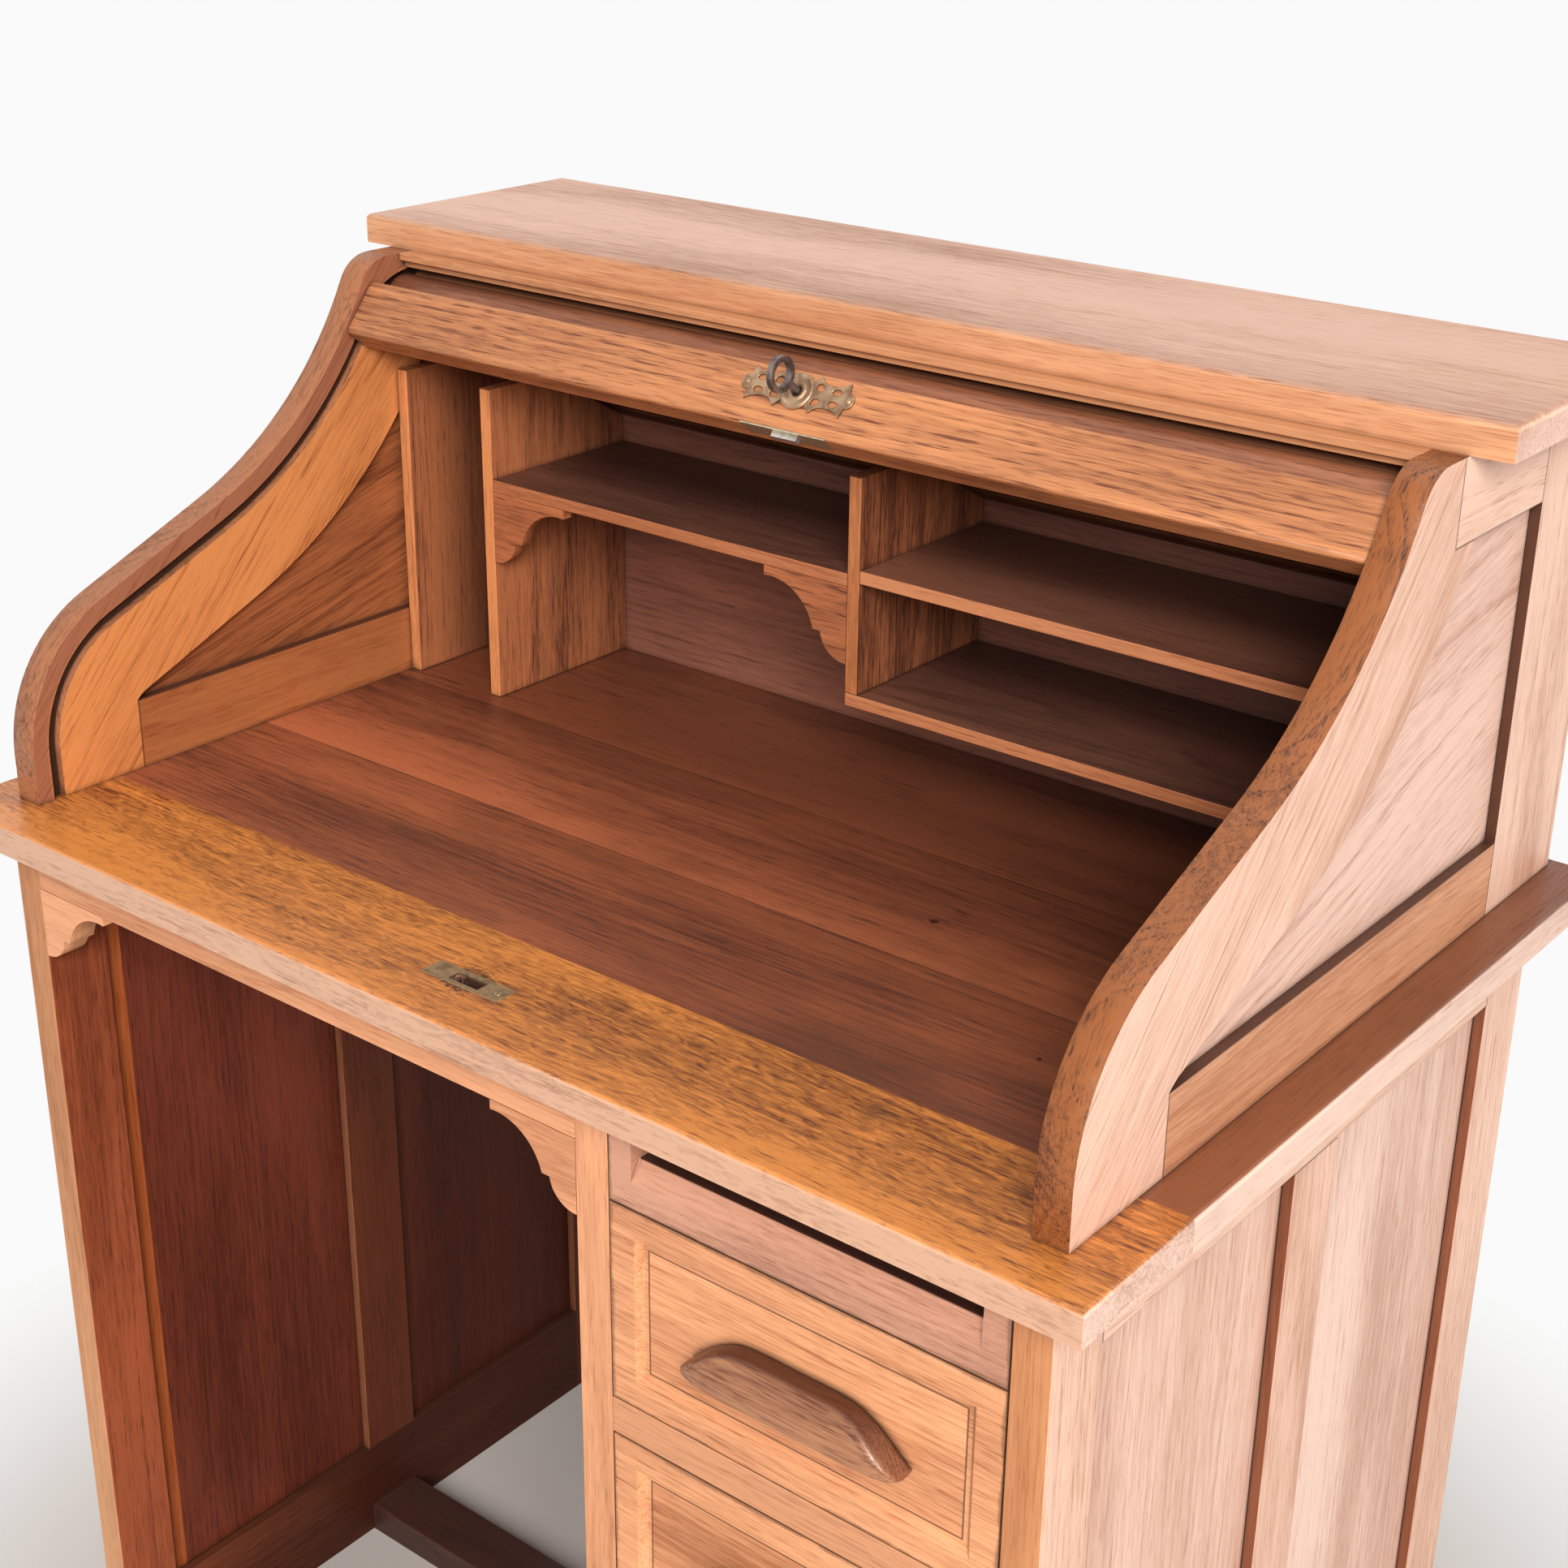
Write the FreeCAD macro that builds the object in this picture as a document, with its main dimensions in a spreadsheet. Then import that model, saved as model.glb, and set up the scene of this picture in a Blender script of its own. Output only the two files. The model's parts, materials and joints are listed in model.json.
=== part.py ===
import FreeCAD, Part
import Sketcher
import math
import os

# A single-pedestal oak roll-top desk. Origin at the middle of the floor under it, X to the right,
# Y to the back, Z up, in millimetres. Depths are counted back from the deck's front edge and
# heights of the upper part from the deck's top, and both are turned into the frame below.

SIZES = {
    # writing deck
    "deck_width": 910, "deck_depth": 620, "deck_thick": 21, "deck_height": 775, "strip_depth": 103,
    "deck_round": 3, "slot_front": 545, "slot_back": 603,
    # lower case
    "side_overhang": 32, "front_overhang": 28.5, "back_overhang": 25.5, "end_thick": 24,
    "end_front_stile": 48, "end_muntin": 52, "end_back_stile": 55, "end_top_rail": 54,
    "end_bottom_rail": 85, "panel_thick": 8, "panel_tongue": 6, "panel_play": 0.4,
    "pedestal_width": 322, "pedestal_side_thick": 25, "back_thick": 8, "front_rail_depth": 20,
    "apron_height": 38, "back_rail_height": 70, "stretcher_depth": 49, "stretcher_height": 27,
    "stretcher_from_front": 281, "knee_bracket_length": 68, "knee_bracket_height": 51,
    # drawers and writing slide
    "front_gap": 1, "slide_height": 66, "drawer_height": 135, "rail_height": 25, "front_thick": 20,
    "field_margin": 22, "field_depth": 4.5, "field_slope": 4, "box_back_gap": 48, "box_wall": 12,
    "box_drop": 16, "box_bottom": 6, "box_bottom_rise": 9, "box_side_gap": 1.5, "box_rest_gap": 0.3,
    "runner_width": 14, "runner_height": 18, "slide_board_thick": 18, "slide_back_gap": 68,
    "slide_board_drop": 3, "grip_length": 238, "grip_height": 49, "grip_mouth": 36, "grip_depth": 8,
    "pull_length": 154, "pull_height": 35, "pull_reach": 21, "pull_wall": 5, "pull_lip": 9,
    "pull_slope_depth": 15, "pull_end_length": 33, "pull_end_radius": 100, "pull_end_wall": 9,
    "pull_drop": 1,
    # curved sides of the upper part
    "side_thick": 22, "side_front": 37, "side_rise": 32, "nose_radius": 106, "slope_angle": 22,
    "slope_length": 111, "throat_radius": 279, "throat_angle": 63, "brow_radius": 30,
    "side_back": 612, "side_stile": 80, "side_bottom_rail": 50, "side_back_stile": 98,
    "side_top_rail": 52, "upper_back_thick": 6,
    # top
    "top_overhang": 25, "top_front": 401, "top_back": 606, "top_thick": 21, "top_round": 4,
    "cornice_reach": 13, "cornice_depth": 22, "cornice_step": 5, "cornice_height": 10.8,
    # curtain and its track
    "track_inset": 21, "track_angle": 59, "bend_radius": 48.5, "bend_angle": 5.8, "hidden_radius": 160,
    "hidden_angle": 100, "groove_depth": 6, "groove_play": 0.5, "curtain_open": 461.4,
    "slat_pitch": 27.5, "slat_gap": 0.8, "slat_thick": 8, "slat_edge": 2.4, "slat_end_gap": 0.5,
    "lock_rail_height": 43.4, "lock_rail_thick": 21, "lock_rail_back": 2, "lock_rail_round": 3,
    # lock, key and plates
    "lock_width": 58, "lock_thick": 10, "lock_height": 38, "lock_wall": 1.5, "lock_setback": 3,
    "lock_fit": 0.2, "selvedge_width": 68, "selvedge_depth": 14, "selvedge_thick": 1.6,
    "bolt_width": 20, "bolt_thick": 5, "bolt_length": 18, "bolt_show": 3, "bolt_fit": 0.2,
    "key_height": 27.5, "key_radius": 2.6, "key_bore_gap": 1.4, "key_length": 24, "key_ring_radius": 10,
    "key_ring_wire": 1.9, "key_bit_reach": 6.5, "key_bit_width": 4, "key_bit_thick": 2.2,
    "plate_length": 89, "plate_height": 27, "plate_thick": 1.5, "plate_hub_radius": 12.5,
    "plate_hub_thick": 2.5, "plate_hole_radius": 2.2,
    "strike_length": 62, "strike_depth": 17, "strike_thick": 1.6, "strike_slot_length": 24,
    "strike_slot_depth": 9, "strike_mortise": 9,
    # gallery of compartments
    "gallery_front": 380, "gallery_back": 521, "gallery_top": 236, "gallery_slope_from": 440,
    "gallery_back_top": 190, "gallery_board": 10, "gallery_back_thick": 6, "slot_width": 76,
    "middle_width": 325, "shelf_thick": 9, "middle_shelf_top": 170, "upper_shelf_top": 174,
    "lower_shelf_top": 87, "gallery_bracket_length": 70, "gallery_bracket_height": 54,
    "gallery_bracket_thick": 9,
    # depth of deck for which the upper part's pattern is drawn, and how far cuts run past the stock
    "pattern_depth": 620, "overrun": 5,
}
# Sizes of the upper part that grow with the depth of the deck
PATTERN = (
    "slot_front", "slot_back", "side_front", "side_rise", "nose_radius", "slope_length", "throat_radius",
    "brow_radius", "side_back", "side_stile", "side_bottom_rail", "side_back_stile", "side_top_rail",
    "top_front", "top_back", "bend_radius", "hidden_radius", "curtain_open", "slat_pitch",
    "gallery_front", "gallery_back", "gallery_top", "gallery_slope_from", "gallery_back_top",
    "middle_shelf_top", "upper_shelf_top", "lower_shelf_top", "stretcher_from_front",
)
DRAWERS = 4

doc = FreeCAD.newDocument("roll_top_desk")
sheet = doc.addObject("Spreadsheet::Sheet", "Sizes")


class Dim:
    """A length or angle that keeps both its value and the sheet expression it comes from."""

    def __init__(self, value, text):
        self.value = value
        self.text = text

    def __add__(self, other):
        return joined(self, "+", other, self.value + number(other))

    def __radd__(self, other):
        return joined(other, "+", self, number(other) + self.value)

    def __sub__(self, other):
        return joined(self, "-", other, self.value - number(other))

    def __rsub__(self, other):
        return joined(other, "-", self, number(other) - self.value)

    def __mul__(self, other):
        return joined(self, "*", other, self.value * number(other))

    def __rmul__(self, other):
        return joined(other, "*", self, number(other) * self.value)

    def __truediv__(self, other):
        return joined(self, "/", other, self.value / number(other))

    def __neg__(self):
        return joined(0, "-", self, -self.value)


def number(size):
    return size.value if isinstance(size, Dim) else size


def words(size):
    return size.text if isinstance(size, Dim) else repr(size)


def joined(first, sign, second, value):
    return Dim(value, "(%s %s %s)" % (words(first), sign, words(second)))


def sine(angle):
    return Dim(math.sin(math.radians(angle.value)), "sin(%s)" % angle.text)


def cosine(angle):
    return Dim(math.cos(math.radians(angle.value)), "cos(%s)" % angle.text)


def root(square):
    return Dim(math.sqrt(square.value), "sqrt(%s)" % square.text)


class Sizes:
    """The sheet's rows as attributes."""


S = Sizes()
for row, (name, value) in enumerate(SIZES.items(), 1):
    sheet.set("A%d" % row, name)
    sheet.set("B%d" % row, str(value))
    sheet.setAlias("B%d" % row, name)
    setattr(S, name, Dim(float(value), "Sizes." + name))
for name in PATTERN:
    setattr(S, name, getattr(S, name) * (S.deck_depth / S.pattern_depth))
doc.recompute()

pieces = []


# Ways of making a piece

def keep(piece, label):
    """Marks a finished object as one of the desk's pieces."""
    piece.Label = label
    pieces.append(piece)
    return piece


def move(item, at):
    for axis, size in zip("xyz", at):
        if isinstance(size, Dim):
            item.setExpression("Placement.Base." + axis, size.text)


def board(name, low, high):
    """A square-edged board between two opposite corners."""
    box = doc.addObject("Part::Box", name)
    for side, start, end in zip(("Length", "Width", "Height"), low, high):
        box.setExpression(side, words(end - start))
    move(box, low)
    return box


def plane(body, role):
    return [part for part in body.Origin.OriginFeatures if part.Role == role][0]


def arc_between(start, end, radius):
    """An arc of less than half a turn; a positive radius has its centre to the left of the way."""
    chord = end - start
    rise = math.sqrt(radius * radius - chord.Length ** 2 / 4)
    side = 1 if radius > 0 else -1
    left = FreeCAD.Vector(-chord.y, chord.x, 0).normalize()
    centre = (start + end) * 0.5 + left * rise * side
    turn_start = math.atan2(start.y - centre.y, start.x - centre.x)
    turn_end = math.atan2(end.y - centre.y, end.x - centre.x)
    circle = Part.Circle(centre, FreeCAD.Vector(0, 0, 1), abs(radius))
    if side > 0:
        return Part.ArcOfCircle(circle, turn_start, turn_end)
    return Part.ArcOfCircle(circle, turn_end, turn_start)


def outline(sketch, corners):
    """A closed outline of (across, up, radius) corners; radius bends the edge that leaves a corner."""
    count = len(corners)
    first = sketch.GeometryCount
    points = [FreeCAD.Vector(number(across), number(up), 0) for across, up, radius in corners]
    for index, (across, up, radius) in enumerate(corners):
        start, end = points[index], points[(index + 1) % count]
        if radius is None:
            sketch.addGeometry(Part.LineSegment(start, end))
        else:
            sketch.addGeometry(arc_between(start, end, number(radius)))

    def tip(index, last):
        radius = corners[index][2]
        turned = radius is not None and number(radius) < 0
        return 2 if last != turned else 1

    for index, (across, up, radius) in enumerate(corners):
        edge = first + index
        before = (index - 1) % count
        meeting = (first + before, tip(before, True), edge, tip(index, False))
        sketch.addConstraint(Sketcher.Constraint("Coincident", *meeting))
        for kind, size in (("DistanceX", across), ("DistanceY", up)):
            held = Sketcher.Constraint(kind, -1, 1, edge, tip(index, False), number(size))
            bind(sketch, sketch.addConstraint(held), size)
        if radius is not None:
            held = Sketcher.Constraint("Radius", edge, abs(number(radius)))
            bind(sketch, sketch.addConstraint(held), radius if number(radius) > 0 else -radius)


def ring(sketch, across, up, radius):
    """A circle of a sketch."""
    centre = FreeCAD.Vector(number(across), number(up), 0)
    edge = sketch.addGeometry(Part.Circle(centre, FreeCAD.Vector(0, 0, 1), number(radius)))
    bind(sketch, sketch.addConstraint(Sketcher.Constraint("Radius", edge, number(radius))), radius)
    for kind, size in (("DistanceX", across), ("DistanceY", up)):
        held = Sketcher.Constraint(kind, -1, 1, edge, 3, number(size))
        bind(sketch, sketch.addConstraint(held), size)


def bind(sketch, constraint, size):
    if isinstance(size, Dim):
        sketch.setExpression("Constraints[%d]" % constraint, size.text)


def profile(name, role, loops, length, at=(0, 0, 0), rings=()):
    """A body padded from a sketch on one of its own planes: YZ pads to +X, XZ to -Y and XY to +Z."""
    body = doc.addObject("PartDesign::Body", name)
    sketch = body.newObject("Sketcher::SketchObject", name + "_outline")
    sketch.AttachmentSupport = [(plane(body, role + "_Plane"), "")]
    sketch.MapMode = "FlatFace"
    for corners in loops:
        outline(sketch, corners)
    for across, up, radius in rings:
        ring(sketch, across, up, radius)
    pad = body.newObject("PartDesign::Pad", name + "_pad")
    pad.Profile = sketch
    pad.setExpression("Length", words(length))
    move(body, at)
    return body


def edges(body, wanted):
    """The body's tip and the names of its edges whose middle passes the test."""
    doc.recompute()
    base = body.Tip
    names = ["Edge%d" % count for count, edge in enumerate(base.Shape.Edges, 1) if wanted(edge.CenterOfMass)]
    return base, names


def rounded(body, name, radius, wanted):
    picked = edges(body, wanted)
    fillet = body.newObject("PartDesign::Fillet", name)
    fillet.Base = picked
    fillet.setExpression("Radius", words(radius))


def fused(name, items):
    whole = doc.addObject("Part::MultiFuse", name)
    whole.Shapes = items
    return whole


def cut(name, base, tools):
    """Takes one or more tools away from a base."""
    result = doc.addObject("Part::Cut", name)
    result.Base = base
    result.Tool = tools[0] if len(tools) == 1 else fused(name + "_tools", tools)
    return result


def group(name, items):
    """Several separate solids kept together as one piece."""
    whole = doc.addObject("Part::Compound", name)
    whole.Links = items
    return whole


def rectangle(left, low, right, high):
    return [(left, low, None), (right, low, None), (right, high, None), (left, high, None)]


# The frame: where depths and heights begin

deck_half = S.deck_width / 2
back_edge = S.deck_depth / 2
front_edge = -back_edge
deck_top = S.deck_height
deck_under = S.deck_height - S.deck_thick
case_half = deck_half - S.side_overhang
case_inner = case_half - S.end_thick
case_front = front_edge + S.front_overhang
case_depth = S.deck_depth - S.front_overhang - S.back_overhang
case_back = case_front + case_depth
pedestal_left = case_half - S.pedestal_width
opening_left = pedestal_left + S.pedestal_side_thick
side_inner = case_half - S.side_thick


# Deck: a wide board with a slot at the back for the curtain's tail, and a lighter strip in front

strip_back = front_edge + S.strip_depth
deck_board = profile(
    "deck_board", "XY",
    [rectangle(-deck_half, strip_back, deck_half, back_edge),
     rectangle(-side_inner, front_edge + S.slot_front, side_inner, front_edge + S.slot_back)],
    S.deck_thick, (0, 0, deck_under))
rounded(deck_board, "deck_board_edges", S.deck_round,
        lambda mid: abs(abs(mid.x) - deck_half.value) < 1e-6 and mid.z > 0.9 * S.deck_thick.value)
keep(deck_board, "deck_board")

strip = profile("strip_blank", "XY", [rectangle(-deck_half, front_edge, deck_half, strip_back)],
                S.deck_thick, (0, 0, deck_under))
rounded(strip, "strip_edges", S.deck_round,
        lambda mid: mid.z > 0.9 * S.deck_thick.value and mid.y < strip_back.value - S.deck_round.value)
rail_front_closed = S.side_front + S.track_inset + S.lock_rail_back - S.lock_rail_thick
strike_middle = front_edge + rail_front_closed + S.lock_setback + S.lock_thick / 2
strike_half = S.strike_length / 2
strike_reach = S.strike_depth / 2
strike_seat = board("strike_seat", (-strike_half, strike_middle - strike_reach, deck_top - S.strike_thick),
                    (strike_half, strike_middle + strike_reach, deck_top + S.overrun))
mouth_half = S.strike_slot_length / 2
mouth_reach = S.strike_slot_depth / 2
bolt_mortise = board("bolt_mortise", (-mouth_half, strike_middle - mouth_reach, deck_top - S.strike_mortise),
                     (mouth_half, strike_middle + mouth_reach, deck_top))
keep(cut("deck_front_strip", strip, [strike_seat, bolt_mortise]), "deck_front_strip")
strike = profile(
    "strike_plate", "XY",
    [rectangle(-strike_half, -strike_reach, strike_half, strike_reach),
     rectangle(-mouth_half, -mouth_reach, mouth_half, mouth_reach)],
    S.strike_thick, (0, strike_middle, deck_top - S.strike_thick))
keep(strike, "strike_plate")


# Lower ends: frames of stiles, rails and a muntin, each round two loose panels

panel_lows = S.end_bottom_rail
panel_highs = deck_under - S.end_top_rail
panel_span = (case_depth - S.end_front_stile - S.end_muntin - S.end_back_stile) / 2
panel_starts = (case_front + S.end_front_stile,
                case_front + S.end_front_stile + panel_span + S.end_muntin)
panel_inset = (S.end_thick - S.panel_thick) / 2


def end_panels(name, outer_left, grow):
    """The two panels of an end; grow adds to their tongues and faces all round."""
    reach = S.panel_tongue + grow
    left = outer_left + panel_inset
    right = left + S.panel_thick
    return [board("%s_%d" % (name, index), (left - grow, start - reach, panel_lows - reach),
                  (right + grow, start + panel_span + reach, panel_highs + reach))
            for index, start in enumerate(panel_starts)]


for side, left in (("left", -case_half), ("right", case_inner)):
    whole = board("end_blank_" + side, (left, case_front, 0), (left + S.end_thick, case_back, deck_under))
    lights = [board("end_light_%s_%d" % (side, index),
                    (left - S.overrun, start, panel_lows),
                    (left + S.end_thick + S.overrun, start + panel_span, panel_highs))
              for index, start in enumerate(panel_starts)]
    seats = end_panels("end_seat_" + side, left, S.panel_play)
    keep(cut("end_frame_" + side, whole, lights + seats), "end_frame_" + side)
    keep(group("end_panels_" + side, end_panels("end_panel_" + side, left, 0)), "end_panels_" + side)


# Pedestal: inner side, back, front rails and the runners that carry the drawers and the slide

keep(board("pedestal_side", (pedestal_left, case_front, 0), (opening_left, case_back, deck_under)),
     "pedestal_side")
keep(board("pedestal_back", (opening_left, case_back - S.back_thick, 0), (case_inner, case_back, deck_under)),
     "pedestal_back")
slide_top = deck_under - S.front_gap
slide_low = slide_top - S.slide_height
drawer_pitch = S.drawer_height + S.rail_height + 2 * S.front_gap
drawer_tops = [slide_low - S.front_gap - drawer_pitch * index for index in range(DRAWERS)]
rail_tops = [top - S.drawer_height - S.front_gap for top in drawer_tops]
rail_lows = [top - S.rail_height for top in rail_tops[:-1]] + [0]
rail_back = case_front + S.front_rail_depth
rails = [board("rail_%d" % index, (opening_left, case_front, low), (case_inner, rail_back, top))
         for index, (low, top) in enumerate(zip(rail_lows, rail_tops))]
keep(group("drawer_rails", rails), "drawer_rails")
slide_board_low = slide_top - S.slide_board_drop - S.slide_board_thick
runner_tops = rail_tops + [slide_board_low - S.box_rest_gap]
runners = []
for index, top in enumerate(runner_tops):
    for side, left in (("left", opening_left), ("right", case_inner - S.runner_width)):
        runners.append(board("runner_%s_%d" % (side, index),
                             (left, rail_back, top - S.runner_height),
                             (left + S.runner_width, case_back - S.back_thick, top)))
keep(group("drawer_runners", runners), "drawer_runners")


# Kneehole: apron with shaped brackets, a rail at the back and a stretcher near the floor

LIP_SHARE = 0.13
COVE_SHARES = (0.40, 0.66)
STEP_SHARE = 0.31
COVE_BEND_SHARE = 0.54
TIP_BEND_SHARE = 0.30


def bracket(name, length, height, thick, at, hand):
    """A corner bracket that hangs below a rail: lip, cove, small step and rounded tip."""
    reach = length * hand
    corners = [
        (0, 0, None),
        (-reach, 0, None),
        (-reach, -height * LIP_SHARE, -reach * COVE_BEND_SHARE),
        (-reach * COVE_SHARES[0], -height * COVE_SHARES[1], None),
        (-reach * STEP_SHARE, -height * COVE_SHARES[1], reach * TIP_BEND_SHARE),
        (0, -height, None),
    ]
    return profile(name, "XZ", [corners], thick, at)


apron_low = deck_under - S.apron_height
keep(board("apron_rail", (-case_inner, case_front, apron_low), (pedestal_left, rail_back, deck_under)),
     "apron_rail")
keep(group("kneehole_brackets", [
    bracket("knee_bracket_" + side, S.knee_bracket_length, S.knee_bracket_height,
            S.front_rail_depth, (corner, rail_back, apron_low), hand)
    for side, corner, hand in (("left", -case_inner, -1), ("right", pedestal_left, 1))]), "kneehole_brackets")
keep(board("back_rail", (-case_inner, case_back - S.front_rail_depth, deck_under - S.back_rail_height),
           (pedestal_left, case_back, deck_under)), "back_rail")
stretcher_front = front_edge + S.stretcher_from_front
keep(board("foot_stretcher", (-case_inner, stretcher_front, 0),
           (pedestal_left, stretcher_front + S.stretcher_depth, S.stretcher_height)), "foot_stretcher")


# Drawers: a fielded front, two sides, a back and a bottom, with a carved wooden pull

def field(name, left, low, right, high):
    """The sunk field of a front, with sloping edges."""
    body = doc.addObject("PartDesign::Body", name)
    loft = body.newObject("PartDesign::AdditiveLoft", name + "_loft")
    sketches = []
    for index, (grow, depth) in enumerate(((0, S.field_depth), (S.field_slope, 0))):
        sketch = body.newObject("Sketcher::SketchObject", "%s_%d" % (name, index))
        sketch.AttachmentSupport = [(plane(body, "XZ_Plane"), "")]
        sketch.MapMode = "FlatFace"
        sketch.setExpression("AttachmentOffset.Base.z", words(-case_front - depth))
        outline(sketch, rectangle(left - grow, low - grow, right + grow, high + grow))
        sketches.append(sketch)
    loft.Profile = sketches[0]
    loft.Sections = [sketches[1]]
    loft.Ruled = True
    return body


def pull(name, across, low):
    """An arched hood with a sloping front that stands on the sunk field, hollow below for the fingers."""
    seat = (across, case_front + S.field_depth, low)

    def block(part, half, shoulder, rise, reach, lip):
        """An arched block whose front slopes back above a lip."""
        corners = [(-half, 0, None), (half, 0, S.pull_end_radius),
                   (shoulder, rise, None), (-shoulder, rise, S.pull_end_radius)]
        arch = profile(part + "_arch", "XZ", [corners], reach, seat)
        slope_back = S.pull_slope_depth - reach
        slope = [(-reach, lip, None), (slope_back, rise, None), (slope_back, rise + S.overrun, None),
                 (-reach - S.overrun, rise + S.overrun, None), (-reach - S.overrun, lip, None)]
        start = (across - S.pull_length / 2, *seat[1:])
        return cut(part, arch, [profile(part + "_slope", "YZ", [slope], S.pull_length, start)])

    half = S.pull_length / 2
    shoulder = half - S.pull_end_length
    reach = S.pull_reach + S.field_depth
    hood = block(name + "_hood", half, shoulder, S.pull_height, reach, S.pull_lip)
    hollow = block(name + "_hollow", half - S.pull_end_wall, shoulder - S.pull_wall,
                   S.pull_height - S.pull_wall, reach - S.pull_wall, S.pull_lip - S.pull_wall)
    return cut(name, hood, [hollow])


front_left = opening_left + S.front_gap
front_right = case_inner - S.front_gap
front_middle = (front_left + front_right) / 2
front_back = case_front + S.front_thick
box_left = front_left + S.box_side_gap
box_right = front_right - S.box_side_gap
inner_left = box_left + S.box_wall
inner_right = box_right - S.box_wall
box_back = case_back - S.back_thick - S.box_back_gap
back_front = box_back - S.box_wall
for index, top in enumerate(drawer_tops):
    label = "drawer_%d" % (index + 1)
    low = top - S.drawer_height
    blank = board(label + "_blank", (front_left, case_front, low), (front_right, front_back, top))
    sunk = field(label + "_field", front_left + S.field_margin, low + S.field_margin,
                 front_right - S.field_margin, top - S.field_margin)
    face = cut(label + "_front", blank, [sunk])
    box_low = rail_tops[index] + S.box_rest_gap
    box_top = top - S.box_drop
    bottom_low = box_low + S.box_bottom_rise
    bottom_top = bottom_low + S.box_bottom
    walls = [
        board(label + "_left", (box_left, front_back, box_low), (inner_left, box_back, box_top)),
        board(label + "_right", (inner_right, front_back, box_low), (box_right, box_back, box_top)),
        board(label + "_back", (inner_left, back_front, bottom_top), (inner_right, box_back, box_top)),
        board(label + "_bottom", (inner_left, front_back, bottom_low), (inner_right, box_back, bottom_top)),
    ]
    keep(group(label, [face] + walls), label)
    middle_up = (top + low) / 2
    label = "drawer_pull_%d" % (index + 1)
    keep(pull(label, front_middle, middle_up - S.pull_height / 2 - S.pull_drop), label)


# Writing slide: a board behind a front that is scooped and cut through at the top for the fingers

slide_blank = board("slide_blank", (front_left, case_front, slide_low), (front_right, front_back, slide_top))
mouth_low = slide_top - S.grip_mouth
grip_corners = [(case_front - S.overrun, slide_top - S.grip_height, None),
                (case_front, slide_top - S.grip_height, None),
                (case_front + S.grip_depth, mouth_low, None),
                (front_back + S.overrun, mouth_low, None),
                (front_back + S.overrun, slide_top + S.overrun, None),
                (case_front - S.overrun, slide_top + S.overrun, None)]
grip = profile("slide_grip", "YZ", [grip_corners], S.grip_length, (front_middle - S.grip_length / 2, 0, 0))
keep(cut("slide_front", slide_blank, [grip]), "slide_front")
keep(board("slide_board", (box_left, front_back, slide_board_low),
           (box_right, case_back - S.back_thick - S.slide_back_gap, slide_board_low + S.slide_board_thick)),
     "slide_board")


# Curved sides: an edge that rises, noses over, slopes back and climbs the throat to the top board

def slid(point, length, angle):
    return (point[0] + length * cosine(angle), point[1] + length * sine(angle))


def s_edge(inset):
    """Corners of the curved edge moved inwards by inset, from the deck up to the end of the throat."""
    nose = S.nose_radius - inset
    throat = S.throat_radius + inset
    nose_centre = (S.side_front + S.nose_radius, S.side_rise)
    base = (S.side_front + inset, 0)
    start = (S.side_front + inset, S.side_rise)
    over = (nose_centre[0] - nose * sine(S.slope_angle), nose_centre[1] + nose * cosine(S.slope_angle))
    foot = slid(over, S.slope_length, S.slope_angle)
    centre = (foot[0] - throat * sine(S.slope_angle), foot[1] + throat * cosine(S.slope_angle))
    return base, start, over, foot, centre, nose, throat


def placed(points):
    """Turns depth and height into the frame."""
    return [(front_edge + depth, deck_top + height, radius) for depth, height, radius in points]


def side_outline():
    base, start, over, foot, centre, nose, throat = s_edge(0)
    neck = (centre[0] + throat * sine(S.throat_angle), centre[1] - throat * cosine(S.throat_angle))
    brow = (neck[0] + S.brow_radius * sine(S.throat_angle),
            neck[1] + S.brow_radius - S.brow_radius * cosine(S.throat_angle))
    corners = [(*base, None), (*start, -nose), (*over, None), (*foot, throat), (*neck, -S.brow_radius),
               (*brow, None), (S.side_back, brow[1], None), (S.side_back, 0, None)]
    return corners, brow[1]


side_corners, side_height = side_outline()


def side_light(grow):
    """The opening for a side's panel, let in all round by grow."""
    base, start, over, foot, centre, nose, throat = s_edge(S.side_stile - grow)
    low = S.side_bottom_rail - grow
    high = side_height - S.side_top_rail + grow
    nose_depth = S.side_front + S.nose_radius
    corner = nose_depth - root(nose * nose - (low - S.side_rise) * (low - S.side_rise))
    top = centre[0] + root(throat * throat - (centre[1] - high) * (centre[1] - high))
    back = S.side_back - S.side_back_stile + grow
    return [(corner, low, -nose), (*over, None), (*foot, throat), (top, high, None), (back, high, None),
            (back, low, None)]


def track_edge(offset):
    """Corners of the curtain's track moved outwards by offset, from the deck to its hidden end."""
    base, start, over, foot, centre, nose, throat = s_edge(S.track_inset - offset)
    bend = S.bend_radius + offset
    hidden = S.hidden_radius + offset
    leave = (centre[0] + throat * sine(S.track_angle), centre[1] - throat * cosine(S.track_angle))
    bend_centre = (leave[0] + bend * sine(S.track_angle), leave[1] - bend * cosine(S.track_angle))
    crest = (bend_centre[0] - bend * sine(S.bend_angle), bend_centre[1] + bend * cosine(S.bend_angle))
    middle = (crest[0] + hidden * sine(S.bend_angle), crest[1] - hidden * cosine(S.bend_angle))
    apex = (middle[0], middle[1] + hidden)
    fall = (middle[0] + hidden * sine(S.hidden_angle), middle[1] + hidden * cosine(S.hidden_angle))
    floor = (fall[0] + fall[1] * cosine(S.hidden_angle) / sine(S.hidden_angle), 0)
    return [(*base, None), (*start, -nose), (*over, None), (*foot, throat), (*leave, -bend),
            (*crest, -hidden), (*apex, -hidden), (*fall, None), (*floor, None)]


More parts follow.
